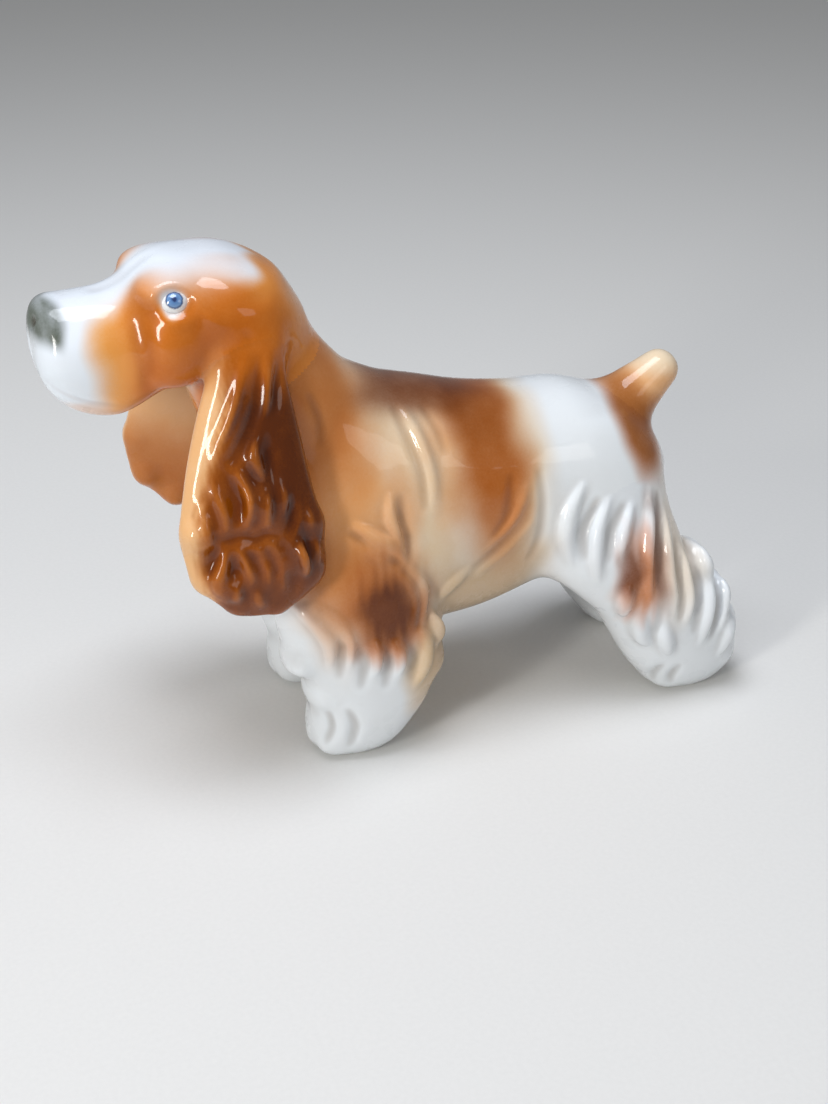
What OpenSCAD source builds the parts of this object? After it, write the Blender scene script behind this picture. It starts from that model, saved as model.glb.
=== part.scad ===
// Standing spaniel figurine, slip-cast in separate hollow pieces that are luted together.
// +X is the dog's left, +Y runs from its nose to its heels, +Z is up. Millimetres.
// The origin lies on the table, midway between the nose and the heels.

/* [Figure] */
// Length from the nose to the heels
figure_length = 150; // [110:1:200]
// Height of the crown above the table
crown_height = 110; // [95:1:130]
// Height of the back at the withers
withers_height = 79; // [70:1:92]
// Height of the lowest belly feathering
belly_height = 22.5; // [16:0.5:30]

/* [Trunk] */
// Width of the rib cage
trunk_width = 42; // [34:1:52]
// Distance from the nose back to the chest
chest_setback = 39; // [33:1:46]
// Distance from the heels forward to the rump
rump_setback = 14; // [8:1:20]

/* [Head and neck] */
// Length from the nose to the back of the skull
head_length = 52; // [44:1:60]
// Width of the skull
head_width = 34; // [28:1:42]
// Depth from the crown to the lips
head_depth = 32; // [26:1:37]
// Width of the neck
neck_width = 30; // [24:1:36]
// Share of the neck that is cast with the trunk
collar_share = 0.6; // [0.5:0.05:0.75]
// Radius of each enamel eye
eye_radius = 2.1; // [1.5:0.1:2.6]

/* [Ears] */
// Length of each ear
ear_length = 59; // [50:1:68]
// Breadth of each ear, front to back
ear_breadth = 30; // [24:1:36]
// Thickness of each ear
ear_thickness = 8.5; // [6.5:0.5:11]

/* [Legs] */
// Distance between the middles of the left and right legs
stance_width = 31; // [27:1:40]
// Breadth of each foreleg's feathering, front to back
foreleg_breadth = 34; // [27:1:41]
// Breadth of each hind leg's feathering, front to back
hind_leg_breadth = 33; // [27:1:40]
// Thickness of each leg, side to side
leg_thickness = 20; // [17:0.5:25]
// Thickness of the bare pad that each foot stands on
sole_thickness = 0.6; // [0.4:0.1:1.2]
// Distance from a foot's edge in to its bare pad
sole_inset = 1; // [0.5:0.25:2]

/* [Tail] */
// Length of the docked tail, from its root in the rump
tail_length = 20; // [16:1:26]
// Radius of the tail
tail_radius = 4.4; // [3.4:0.1:5.4]

/* [Casting] */
// Thickness of the cast wall
wall = 3; // [2:0.25:4]
// Radius of the air hole between the trunk and each leg
air_hole_radius = 2.5; // [1.5:0.25:3.5]
// Radius of the vent under the belly
vent_radius = 1.5; // [1:0.25:3]

/* [Hidden] */

ring_points = 24;
ring_steps = 2;
nose_y = -figure_length / 2;
heel_y = figure_length / 2;
chest_y = nose_y + chest_setback;
rump_y = heel_y - rump_setback;
occiput_y = nose_y + head_length;

// ---- Lofted skins ----

// A point on the Catmull-Rom curve from b to c, at share t
function curve_point(a, b, c, d, t) =
    (2 * b + (c - a) * t + (2 * a - 5 * b + 4 * c - d) * t * t + (3 * b - a - 3 * c + d) * t * t * t) / 2;

// The stations with ring_steps - 1 more between each pair, on a smooth curve
function flowing(stations) = let (last = len(stations) - 1) concat(
    [for (i = [0:last - 1], k = [0:ring_steps - 1])
        curve_point(stations[max(i - 1, 0)], stations[i], stations[i + 1],
                    stations[min(i + 2, last)], k / ring_steps)],
    [stations[last]]);

// The station at any share of the way along, on the same curve
function station_at(stations, share) =
    let (last = len(stations) - 1,
         i = max([for (k = [0:last - 1]) if (stations[k][0] <= share) k]),
         t = (share - stations[i][0]) / (stations[i + 1][0] - stations[i][0]))
        curve_point(stations[max(i - 1, 0)], stations[i], stations[i + 1], stations[min(i + 2, last)], t);

// A cosine or sine drawn out towards a corner by power: 2 is round
function squared(c, power) = sign(c) * pow(abs(c), 2 / power);

// A closed ring of points about middle, with half axes that are vectors, begun at share first of a step
function ring(middle, across, up, down, power, first = 0) = [
    for (i = [0:ring_points - 1])
        let (turn = 360 * (i + first) / ring_points,
             c = squared(cos(turn), power),
             s = squared(sin(turn), power))
            middle + across * c + (s > 0 ? up : down) * s];

// One closed solid through a list of rings, which run anticlockwise seen from ahead
module skin(rings) {
    last = len(rings) - 1;
    function point_at(k, i) = k * ring_points + i % ring_points;
    function mean(points) = [for (p = points) 1] * points / len(points);
    polyhedron(
        points = concat([for (r = rings, p = r) p], [mean(rings[0]), mean(rings[last])]),
        faces = concat(
            [for (k = [0:last - 1], i = [0:ring_points - 1])
                [point_at(k, i), point_at(k + 1, i), point_at(k, i + 1)]],
            [for (k = [0:last - 1], i = [0:ring_points - 1])
                [point_at(k, i + 1), point_at(k + 1, i), point_at(k + 1, i + 1)]],
            [for (i = [0:ring_points - 1]) [point_at(0, i), point_at(0, i + 1), (last + 1) * ring_points]],
            [for (i = [0:ring_points - 1]) [point_at(last, i + 1), point_at(last, i), (last + 1) * ring_points + 1]]));
}

// The same piece on the dog's other side
module mirrored() {
    mirror([1, 0, 0]) children();
}

// ---- Trunk, neck and head: rings across the dog ----

// Share of the length, half width, top and bottom as shares of the width and height
TRUNK = [
    [0.000, 0.12, 0.60, 0.40],
    [0.030, 0.42, 0.74, 0.26],
    [0.090, 0.68, 0.88, 0.13],
    [0.180, 0.86, 0.98, 0.05],
    [0.280, 0.96, 1.00, 0.01],
    [0.400, 1.00, 0.955, -0.01],
    [0.520, 0.98, 0.90, 0.01],
    [0.640, 0.93, 0.87, 0.07],
    [0.760, 0.90, 0.86, 0.14],
    [0.870, 0.80, 0.79, 0.22],
    [0.940, 0.62, 0.69, 0.30],
    [0.985, 0.34, 0.58, 0.39],
    [1.000, 0.12, 0.52, 0.45]];
TRUNK_POWER = 2.2;

HEAD = [
    [0.00, 0.14, 0.66, 0.46],
    [0.02, 0.37, 0.735, 0.32],
    [0.07, 0.54, 0.785, 0.17],
    [0.16, 0.61, 0.795, 0.06],
    [0.27, 0.67, 0.805, 0.02],
    [0.35, 0.74, 0.85, 0.06],
    [0.40, 0.80, 0.92, 0.11],
    [0.49, 0.90, 0.99, 0.19],
    [0.61, 0.98, 1.00, 0.25],
    [0.74, 1.00, 0.985, 0.27],
    [0.87, 0.90, 0.90, 0.28],
    [0.95, 0.68, 0.74, 0.32],
    [1.00, 0.34, 0.58, 0.40]];
EYE_STATION = 7;
HEAD_POWER = 2.4;

// A body that runs along Y, taken in by inset on every side
module long_body(stations, front_y, rear_y, half_width, high_z, low_z, power, inset) {
    least = 0.5;
    skin([for (s = flowing(stations))
        let (y = front_y + inset + s[0] * (rear_y - front_y - 2 * inset),
             top = low_z + s[2] * (high_z - low_z),
             bottom = low_z + s[3] * (high_z - low_z),
             half_height = max((top - bottom) / 2 - inset, least))
            ring([0, y, (top + bottom) / 2], [-max(s[1] * half_width - inset, least), 0, 0],
                 [0, 0, half_height], [0, 0, half_height], power)]);
}

module trunk_skin(inset = 0) {
    long_body(TRUNK, chest_y, rump_y, trunk_width / 2, withers_height, belly_height, TRUNK_POWER, inset);
}

module skull_skin(inset = 0) {
    long_body(HEAD, nose_y, occiput_y, head_width / 2, crown_height, crown_height - head_depth,
              HEAD_POWER, inset);
}

// Share of the neck's axis, then half width, throat and nape as shares of half the neck's width
NECK = [
    [0.00, 1.00, 1.05, 1.20],
    [0.22, 1.02, 1.12, 1.12],
    [0.40, 1.00, 1.12, 0.97],
    [0.60, 0.95, 1.05, 0.83],
    [0.80, 0.88, 0.95, 0.80],
    [1.00, 0.78, 0.78, 0.74]];
neck_base = [0, chest_y + 17, withers_height - 17];
neck_top = [0, occiput_y - 14, crown_height - 11];
neck_axis = neck_top - neck_base;
neck_tilt = atan2(-neck_axis.y, neck_axis.z);
nape = [0, cos(neck_tilt), sin(neck_tilt)];

// The stretch of the neck from share low to share high of its axis, taken in by inset
NECK_RINGS = 7;
module neck_skin(low, high, inset = 0) {
    half = neck_width / 2;
    skin([for (k = [0:NECK_RINGS])
        let (share = low + (high - low) * k / NECK_RINGS,
             s = station_at(NECK, share))
            ring(neck_base + share * neck_axis, [s[1] * half - inset, 0, 0],
                 nape * (s[3] * half - inset), nape * (s[2] * half - inset), 2, 0.5)]);
}

// The hollow of the neck, which runs on past the collar
module neck_cavity() {
    neck_skin(0.04, 0.93, wall);
}

// ---- Legs: level rings, with the foot at share 0 and the top inside the trunk at share 1 ----

// Height, front and back as shares of the breadth, inside and outside as shares of the thickness
FORELEG = [
    [1.00, 0.32, 0.66, -0.45, -0.12],
    [0.88, 0.17, 0.79, -0.50, 0.14],
    [0.74, 0.07, 0.85, -0.54, 0.30],
    [0.60, 0.01, 0.88, -0.54, 0.42],
    [0.49, 0.00, 0.95, -0.53, 0.48],
    [0.39, 0.04, 1.03, -0.51, 0.50],
    [0.29, 0.14, 1.05, -0.48, 0.50],
    [0.19, 0.19, 0.97, -0.46, 0.49],
    [0.10, 0.17, 0.86, -0.43, 0.44],
    [0.04, 0.20, 0.77, -0.36, 0.36],
    [0.00, 0.31, 0.67, -0.24, 0.22]];
foreleg_y = chest_y + 3;
foreleg_top = withers_height - 9;

HIND_LEG = [
    [1.00, -0.24, 0.14, -0.60, -0.18],
    [0.87, -0.40, 0.31, -0.62, 0.06],
    [0.74, -0.47, 0.43, -0.60, 0.26],
    [0.64, -0.48, 0.50, -0.57, 0.39],
    [0.54, -0.42, 0.58, -0.52, 0.47],
    [0.45, -0.24, 0.72, -0.49, 0.50],
    [0.36, -0.06, 0.86, -0.46, 0.51],
    [0.25, 0.07, 0.97, -0.44, 0.50],
    [0.15, 0.18, 1.00, -0.42, 0.46],
    [0.075, 0.29, 0.97, -0.37, 0.39],
    [0.03, 0.37, 0.91, -0.31, 0.32],
    [0.00, 0.47, 0.81, -0.20, 0.22]];
hind_leg_y = heel_y - hind_leg_breadth;
hind_leg_top = withers_height - 15;

LEG_POWER = 2.3;

// The rings of a left leg, taken in by inset
function leg_rings(stations, front_y, breadth, top_z, inset) = [
    for (s = flowing(stations))
        let (y1 = front_y + s[1] * breadth + inset,
             y2 = front_y + s[2] * breadth - inset,
             x1 = stance_width / 2 + s[3] * leg_thickness + inset,
             x2 = stance_width / 2 + s[4] * leg_thickness - inset)
            ring([(x1 + x2) / 2, (y1 + y2) / 2, sole_thickness + s[0] * (top_z - sole_thickness)],
                 [0, (y2 - y1) / 2, 0], [(x2 - x1) / 2, 0, 0], [(x2 - x1) / 2, 0, 0], LEG_POWER)];

// The stations whose share of the height lies between low and high
function between(stations, low, high) = [for (s = stations) if (s[0] >= low && s[0] <= high) s];

module foreleg_skin() {
    skin(leg_rings(FORELEG, foreleg_y, foreleg_breadth, foreleg_top, 0));
    paw(foreleg_y + FORELEG[10][1] * foreleg_breadth);
}

module foreleg_cavity() {
    skin(leg_rings(between(FORELEG, 0.07, 0.9), foreleg_y, foreleg_breadth, foreleg_top, wall));
}

module hind_leg_skin() {
    skin(leg_rings(HIND_LEG, hind_leg_y, hind_leg_breadth, hind_leg_top, 0));
    paw(hind_leg_y + HIND_LEG[11][1] * hind_leg_breadth);
}

module hind_leg_cavity() {
    skin(leg_rings(between(HIND_LEG, 0.05, 0.9), hind_leg_y, hind_leg_breadth, hind_leg_top, wall));
}

// Toes that stand out in front of a foot, whose front edge is at edge_y
toe_radius = 3.6;
toe_height = 4.4;
module paw(edge_y) {
    for (side = [-1, 1])
        translate([stance_width / 2 + side * toe_radius * 0.85, edge_y, toe_height])
            scale([1, 1.2, 1])
                intersection() {
                    sphere(toe_radius, $fn = 20);
                    translate([-toe_radius, -toe_radius, sole_thickness - toe_height])
                        cube(2 * toe_radius);
                }
}

// The bare pad that a foot stands on
module sole(stations, front_y, breadth) {
    foot = leg_rings([stations[len(stations) - 1], stations[len(stations) - 1]], front_y, breadth,
                     0, sole_inset)[0];
    linear_extrude(2 * sole_thickness)
        polygon([for (p = foot) [p.x, p.y]]);
}

// ---- Ears and tail ----

// Height, front and back as shares of the breadth, inside and outside as shares of the thickness
EAR = [
    [1.00, 0.56, 0.72, -0.60, 0.02],
    [0.94, 0.45, 0.76, -0.55, 0.20],
    [0.84, 0.33, 0.80, -0.45, 0.47],
    [0.72, 0.22, 0.84, -0.30, 0.74],
    [0.58, 0.12, 0.88, -0.08, 1.02],
    [0.46, 0.05, 0.91, 0.16, 1.25],
    [0.34, 0.00, 0.95, 0.38, 1.44],
    [0.22, 0.01, 0.97, 0.55, 1.57],
    [0.12, 0.10, 0.95, 0.66, 1.60],
    [0.04, 0.25, 0.81, 0.80, 1.52],
    [0.00, 0.40, 0.64, 0.96, 1.40]];
EAR_POWER = 2.2;
ear_y = occiput_y - 30.5;
ear_x = neck_width / 2;
ear_top = crown_height - 9.5;

module ear_skin() {
    skin([for (s = flowing(EAR))
        let (y1 = ear_y + s[1] * ear_breadth, y2 = ear_y + s[2] * ear_breadth,
             x1 = ear_x + s[3] * ear_thickness, x2 = ear_x + s[4] * ear_thickness)
            ring([(x1 + x2) / 2, (y1 + y2) / 2, ear_top - (1 - s[0]) * ear_length],
                 [0, (y2 - y1) / 2, 0], [(x2 - x1) / 2, 0, 0], [(x2 - x1) / 2, 0, 0], EAR_POWER)]);
}

// Share of the length and of the radius
TAIL = [
    [0.00, 1.70],
    [0.25, 1.52],
    [0.50, 1.28],
    [0.72, 1.06],
    [0.86, 0.94],
    [0.94, 0.74],
    [0.985, 0.42],
    [1.00, 0.12]];
TAIL_RISE = 39;
tail_root = [0, rump_y - 13, withers_height - 18];
tail_way = [0, cos(TAIL_RISE), sin(TAIL_RISE)];

module tail_skin() {
    over = [0, -sin(TAIL_RISE), cos(TAIL_RISE)];
    skin([for (s = flowing(TAIL))
        ring(tail_root + s[0] * tail_length * tail_way, [-s[1] * tail_radius, 0, 0],
             over * s[1] * tail_radius, over * s[1] * tail_radius, 2)]);
}

// ---- Eyes ----

eye_level = crown_height - 5.6;
eye_row = HEAD[EYE_STATION];
eye_half_width = eye_row[1] * head_width / 2;
eye_half_height = (eye_row[2] - eye_row[3]) * head_depth / 2;
eye_lift = (eye_level - crown_height + head_depth) / eye_half_height
    - (eye_row[2] + eye_row[3]) / (eye_row[2] - eye_row[3]);
eye_out = pow(1 - pow(eye_lift, HEAD_POWER), 1 / HEAD_POWER);
eye_at = [eye_half_width * eye_out, nose_y + eye_row[0] * head_length, eye_level];
eye_tilt = atan2(pow(eye_out, HEAD_POWER - 1) / eye_half_width, pow(eye_lift, HEAD_POWER - 1) / eye_half_height);
eye_bulge = 0.9;
eye_seat = 1.4;

// Places its children on the left of the skull, with +Z straight out
module at_eye() {
    translate(eye_at)
        rotate([0, eye_tilt, 0])
            children();
}

// The round pocket that an eye is set in
module eye_pocket() {
    at_eye()
        translate([0, 0, -eye_seat])
            cylinder(h = 2 * eye_seat + eye_bulge, r = eye_radius, $fn = 48);
}

// A bead with a domed front, as deep in the head as its pocket
module eye_bead() {
    DOME_STEPS = 8;
    at_eye()
        rotate_extrude($fn = 48)
            polygon(concat([[0, -eye_seat], [eye_radius, -eye_seat]],
                [for (k = [0:DOME_STEPS])
                    [eye_radius * cos(90 * k / DOME_STEPS), eye_bulge * sin(90 * k / DOME_STEPS)]]));
}

// ---- Sub-parts ----

// Air holes through the trunk's wall into the hollow of each leg
FORE_AIR_HOLE = [21, 0.30];
HIND_AIR_HOLE = [19, 0.36];
module air_hole(y, height_share) {
    translate([0, y, belly_height + height_share * (withers_height - belly_height)])
        rotate([0, 90, 0])
            cylinder(h = 2 * trunk_width, r = air_hole_radius, center = true, $fn = 48);
}

module torso() {
    color("sandybrown")
        difference() {
            union() {
                trunk_skin();
                neck_skin(0, collar_share);
            }
            trunk_skin(wall);
            neck_cavity();
            air_hole(chest_y + FORE_AIR_HOLE[0], FORE_AIR_HOLE[1]);
            air_hole(rump_y - HIND_AIR_HOLE[0], HIND_AIR_HOLE[1]);
            translate([0, (chest_y + rump_y) / 2, 0])
                cylinder(h = withers_height / 2, r = vent_radius, $fn = 48);
        }
}

module head() {
    color("peru")
        difference() {
            union() {
                skull_skin();
                neck_skin(collar_share, 1);
            }
            skull_skin(wall);
            neck_cavity();
            eye_pocket();
            mirrored() eye_pocket();
        }
}

module left_ear() {
    color("sienna")
        difference() {
            ear_skin();
            skull_skin();
            neck_skin(0, 1);
            trunk_skin();
            foreleg_skin();
        }
}

module left_foreleg() {
    color("white")
        difference() {
            union() {
                foreleg_skin();
                sole(FORELEG, foreleg_y, foreleg_breadth);
            }
            foreleg_cavity();
            trunk_skin();
            neck_skin(0, collar_share);
        }
}

module left_hind_leg() {
    color("white")
        difference() {
            union() {
                hind_leg_skin();
                sole(HIND_LEG, hind_leg_y, hind_leg_breadth);
            }
            hind_leg_cavity();
            trunk_skin();
        }
}

module tail() {
    color("sandybrown")
        difference() {
            tail_skin();
            trunk_skin();
        }
}

module left_eye() {
    color("midnightblue")
        eye_bead();
}

torso();
head();
left_ear();
mirrored() left_ear();  // right_ear
left_foreleg();
mirrored() left_foreleg();  // right_foreleg
left_hind_leg();
mirrored() left_hind_leg();  // right_hind_leg
tail();
left_eye();
mirrored() left_eye();  // right_eye
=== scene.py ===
"""A glazed standing spaniel: its sculpted clay, the airbrushed glaze on it and a plain studio.

The clay is one distance field in millimetres. Lofted bodies are blended into it, hair locks are laid
on it along paths, and then it is cut into the same pieces as the frame's nodes.
"""

import math

import bmesh
import bpy
import numpy as np
import openvdb as vdb
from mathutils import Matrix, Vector


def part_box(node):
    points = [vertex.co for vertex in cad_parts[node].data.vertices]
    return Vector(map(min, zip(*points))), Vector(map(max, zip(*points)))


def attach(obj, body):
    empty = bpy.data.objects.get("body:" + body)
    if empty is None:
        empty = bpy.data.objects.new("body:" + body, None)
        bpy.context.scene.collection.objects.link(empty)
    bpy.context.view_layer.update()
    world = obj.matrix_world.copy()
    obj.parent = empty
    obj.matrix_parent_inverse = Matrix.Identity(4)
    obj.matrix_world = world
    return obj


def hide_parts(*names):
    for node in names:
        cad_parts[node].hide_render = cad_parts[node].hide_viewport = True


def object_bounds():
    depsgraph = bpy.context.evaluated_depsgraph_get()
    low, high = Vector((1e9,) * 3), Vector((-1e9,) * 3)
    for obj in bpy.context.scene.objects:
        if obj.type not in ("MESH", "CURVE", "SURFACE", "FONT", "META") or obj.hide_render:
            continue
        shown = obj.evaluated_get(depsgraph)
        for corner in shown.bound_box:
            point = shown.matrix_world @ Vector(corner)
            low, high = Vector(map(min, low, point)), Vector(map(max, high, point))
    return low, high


bl_info = {
    "name": "Glazed spaniel figurine",
    "version": (1, 0, 0),
    "blender": (4, 5, 0),
    "location": "3D View > Sidebar > Figurine",
    "description": "Sculpts, glazes and lights a slip-cast spaniel figurine",
    "category": "Object",
}

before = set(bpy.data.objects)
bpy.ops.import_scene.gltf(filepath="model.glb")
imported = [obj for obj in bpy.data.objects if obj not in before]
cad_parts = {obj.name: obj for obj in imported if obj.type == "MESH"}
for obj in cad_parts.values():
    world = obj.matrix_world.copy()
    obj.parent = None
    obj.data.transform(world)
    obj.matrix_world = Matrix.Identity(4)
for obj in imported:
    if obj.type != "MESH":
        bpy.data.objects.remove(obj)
cad_low, cad_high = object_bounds()
MM = 0.001


def box_mm(node):
    """The lowest and highest corner of a node in millimetres."""
    low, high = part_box(node)
    return np.array(low) / MM, np.array(high) / MM


HEAD_LOW, HEAD_HIGH = box_mm("head")
TORSO_HIGH = box_mm("torso")[1]
EAR_LOW, EAR_HIGH = box_mm("left_ear")
FORE_LOW = box_mm("left_foreleg")[0]
HIND_HIGH = box_mm("left_hind_leg")[1]
# Half the distance between the middles of two legs
STANCE = 15.5
# The members of the clay, by the number that the owner field gives each
OWN_TRUNK, OWN_HEAD, OWN_FORELEG, OWN_HIND_LEG, OWN_TAIL, OWN_EAR = range(6)


def tone(code):
    """An sRGB hex colour as linear RGBA."""
    parts = [int(code[i:i + 2], 16) / 255 for i in (0, 2, 4)]
    return [c / 12.92 if c <= 0.04045 else ((c + 0.055) / 1.055) ** 2.4 for c in parts] + [1]


class SpanielSizes(bpy.types.PropertyGroup):
    """Sizes of the sculpted dog."""

    withers: bpy.props.FloatProperty(
        name="Withers height", description="Height of the back above the table",
        default=79 * MM, subtype="DISTANCE")
    belly: bpy.props.FloatProperty(
        name="Belly height", description="Height of the lowest point of the trunk",
        default=22.5 * MM, subtype="DISTANCE")
    neck_width: bpy.props.FloatProperty(
        name="Neck width", description="Width of the neck", default=30 * MM, subtype="DISTANCE")
    leg_thickness: bpy.props.FloatProperty(
        name="Leg thickness", description="Thickness of each leg, side to side",
        default=20 * MM, subtype="DISTANCE")
    ear_thickness: bpy.props.FloatProperty(
        name="Ear thickness", description="Thickness of each ear", default=8.5 * MM, subtype="DISTANCE")
    lock_step: bpy.props.FloatProperty(
        name="Lock step", description="Distance between the rings along a lock of hair",
        default=0.5 * MM, subtype="DISTANCE")
    iris: bpy.props.FloatProperty(
        name="Iris radius", description="Radius of the blue of each eye", default=1.7 * MM,
        subtype="DISTANCE")


class SpanielGlazes(bpy.types.PropertyGroup):
    """Settings of the glaze and of the light."""

    gloss: bpy.props.FloatProperty(
        name="Gloss roughness", description="Roughness of the clear glaze", default=0.045,
        min=0, max=1, subtype="FACTOR")
    enamel: bpy.props.FloatVectorProperty(
        name="Eye enamel", description="Blue of the ring in each eye", default=tone("5A82B6")[:3],
        min=0, max=1, subtype="COLOR")
    key: bpy.props.FloatProperty(
        name="Key light", description="Power of the key light", default=3.4, unit="POWER")


# ---- The clay: a distance field on a grid, for the dog's left half ----

VOXEL = 0.4
BAND = 4.0
MARGIN = 6.0
GRID_LOW = np.array([0.0, cad_low.y / MM - MARGIN, -MARGIN])
GRID_LOW = np.round(GRID_LOW / VOXEL) * VOXEL
GRID_HIGH = np.array([EAR_HIGH[0], cad_high.y / MM, cad_high.z / MM]) + MARGIN
SHAPE = tuple(np.ceil((GRID_HIGH - GRID_LOW) / VOXEL).astype(int))
AXES = [GRID_LOW[a] + VOXEL * np.arange(SHAPE[a], dtype=np.float32) for a in range(3)]
clay = {}


def field_of(points, triangles=None, quads=None):
    """The distance field of a closed mesh, in millimetres, below zero inside."""
    moved = (np.asarray(points) - GRID_LOW).astype(np.float32)
    grid = vdb.FloatGrid.createLevelSetFromPolygons(
        moved,
        triangles=None if triangles is None else np.asarray(triangles, np.uint32),
        quads=None if quads is None else np.asarray(quads, np.uint32),
        transform=vdb.createLinearTransform(VOXEL), halfWidth=BAND / VOXEL)
    out = np.empty(SHAPE, np.float32)
    grid.copyToArray(out)
    return out


def joined(a, b, soft):
    """Two fields as one, with a fillet about as wide as soft."""
    h = np.clip(0.5 + 0.5 * (b - a) / soft, 0, 1)
    return b + (a - b) * h - soft * h * (1 - h)


def carved(a, b, soft):
    """Field a with b cut out of it."""
    return -joined(-a, b, soft)


def smoothed(field, sigma):
    """The field after a Gaussian blur of sigma millimetres, mirrored at the dog's middle."""
    reach = max(1, math.ceil(2.5 * sigma / VOXEL))
    steps = np.arange(-reach, reach + 1)
    weights = np.exp(-0.5 * (steps * VOXEL / sigma) ** 2)
    weights = (weights / weights.sum()).astype(np.float32)
    for axis in range(3):
        pad = [(reach, reach) if a == axis else (0, 0) for a in range(3)]
        wide = np.pad(field, pad, mode="reflect")
        size = field.shape[axis]
        field = sum(w * np.take(wide, range(k, k + size), axis) for k, w in enumerate(weights))
    return field


def turned(tilt=0.0, heading=0.0, roll=0.0):
    """A rotation matrix from degrees about X, then Z, then Y."""
    a, b, c = (math.radians(v) for v in (tilt, heading, roll))
    rx = np.array([[1, 0, 0], [0, math.cos(a), -math.sin(a)], [0, math.sin(a), math.cos(a)]])
    rz = np.array([[math.cos(b), -math.sin(b), 0], [math.sin(b), math.cos(b), 0], [0, 0, 1]])
    ry = np.array([[math.cos(c), 0, math.sin(c)], [0, 1, 0], [-math.sin(c), 0, math.cos(c)]])
    return rz @ rx @ ry


def dab(field, centre, radii, soft, cut=False, turn=None):
    """Presses one ellipsoid of clay on, or cuts it away, within its own corner of the grid."""
    centre, radii = np.asarray(centre, float), np.asarray(radii, float)
    reach = radii.max() + soft + 1
    lows = [max(0, int((centre[a] - reach - GRID_LOW[a]) / VOXEL)) for a in range(3)]
    highs = [min(SHAPE[a], int((centre[a] + reach - GRID_LOW[a]) / VOXEL) + 2) for a in range(3)]
    part = tuple(slice(low, high) for low, high in zip(lows, highs))
    spot = np.stack(np.meshgrid(*[AXES[a][part[a]] - centre[a] for a in range(3)], indexing="ij"), -1)
    if turn is not None:
        spot = spot @ turn
    near = np.linalg.norm(spot / radii, axis=-1)
    slope = np.linalg.norm(spot / radii ** 2, axis=-1)
    ball = (near * (near - 1) / np.maximum(slope, 1e-6)).astype(np.float32)
    field[part] = carved(field[part], ball, soft) if cut else joined(field[part], ball, soft)


def sample(field, points):
    """The field's value at each point, which may lie on either side of the dog."""
    at = (np.abs(points * [1, 0, 0]) + points * [0, 1, 1] - GRID_LOW) / VOXEL
    at = np.clip(at, 0, np.array(SHAPE) - 1.001)
    low = at.astype(int)
    part = at - low
    total = 0
    for i in (0, 1):
        for j in (0, 1):
            for k in (0, 1):
                weight = np.abs(1 - part - (i, j, k)).prod(axis=1)
                total = total + weight * field[low[:, 0] + i, low[:, 1] + j, low[:, 2] + k]
    return total


# ---- Lofted bodies ----

RING = 64
STEPS = 8


def flowing(stations):
    """The stations with STEPS - 1 more between each pair, on a Catmull-Rom curve."""
    rows = np.asarray(stations, float)
    padded = np.vstack([rows[:1], rows, rows[-1:]])
    out = []
    for i in range(len(rows) - 1):
        a, b, c, d = padded[i:i + 4]
        for t in np.arange(STEPS) / STEPS:
            out.append((2 * b + (c - a) * t + (2 * a - 5 * b + 4 * c - d) * t ** 2
                        + (3 * b - a - 3 * c + d) * t ** 3) / 2)
    return np.array(out + [rows[-1]])


def ring(middle, across, up, down, power):
    """A closed ring about middle: squarer than an ellipse where power is over 2."""
    turn = 2 * np.pi * np.arange(RING) / RING
    c, s = np.cos(turn), np.sin(turn)
    c = np.sign(c) * np.abs(c) ** (2 / power)
    s = np.sign(s) * np.abs(s) ** (2 / power)
    half = np.where(s[:, None] > 0, up, down)
    return np.asarray(middle) + c[:, None] * np.asarray(across) + s[:, None] * half


def loft(rings):
    """The field of the closed body through a list of rings."""
    count = len(rings)
    points = np.vstack(rings + [rings[0].mean(0), rings[-1].mean(0)])
    faces = []
    for i in range(RING):
        j = (i + 1) % RING
        for k in range(count - 1):
            a, b, c, d = k * RING + i, k * RING + j, (k + 1) * RING + i, (k + 1) * RING + j
            faces += [(a, b, d), (a, d, c)]
        last = (count - 1) * RING
        faces += [(j, i, count * RING), (last + i, last + j, count * RING + 1)]
    return field_of(points, triangles=faces)


# Share of the length, then half width, top and bottom as shares of the width and height
TRUNK = [
    (0.000, 0.12, 0.60, 0.40), (0.030, 0.42, 0.74, 0.26), (0.090, 0.68, 0.88, 0.13),
    (0.180, 0.86, 0.98, 0.05), (0.280, 0.96, 1.00, 0.01), (0.400, 1.00, 0.955, -0.01),
    (0.520, 0.98, 0.90, 0.01), (0.640, 0.93, 0.87, 0.07), (0.760, 0.90, 0.86, 0.14),
    (0.870, 0.80, 0.79, 0.22), (0.940, 0.62, 0.69, 0.30), (0.985, 0.34, 0.58, 0.39),
    (1.000, 0.12, 0.52, 0.45)]
HEAD = [
    (0.00, 0.14, 0.66, 0.46), (0.02, 0.37, 0.735, 0.32), (0.07, 0.54, 0.785, 0.17),
    (0.16, 0.61, 0.795, 0.06), (0.27, 0.67, 0.805, 0.02), (0.35, 0.74, 0.85, 0.06),
    (0.40, 0.80, 0.92, 0.11), (0.49, 0.90, 0.99, 0.19), (0.61, 0.98, 1.00, 0.25),
    (0.74, 1.00, 0.985, 0.27), (0.87, 0.90, 0.90, 0.28), (0.95, 0.68, 0.74, 0.32),
    (1.00, 0.34, 0.58, 0.40)]
# Share of the neck's axis, then half width, throat and nape as shares of half its width
NECK = [
    (0.00, 1.00, 1.05, 1.20), (0.22, 1.02, 1.12, 1.12), (0.40, 1.00, 1.12, 0.97),
    (0.60, 0.95, 1.05, 0.83), (0.80, 0.88, 0.95, 0.80), (1.00, 0.78, 0.78, 0.74)]
COLLAR = 0.6
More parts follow.
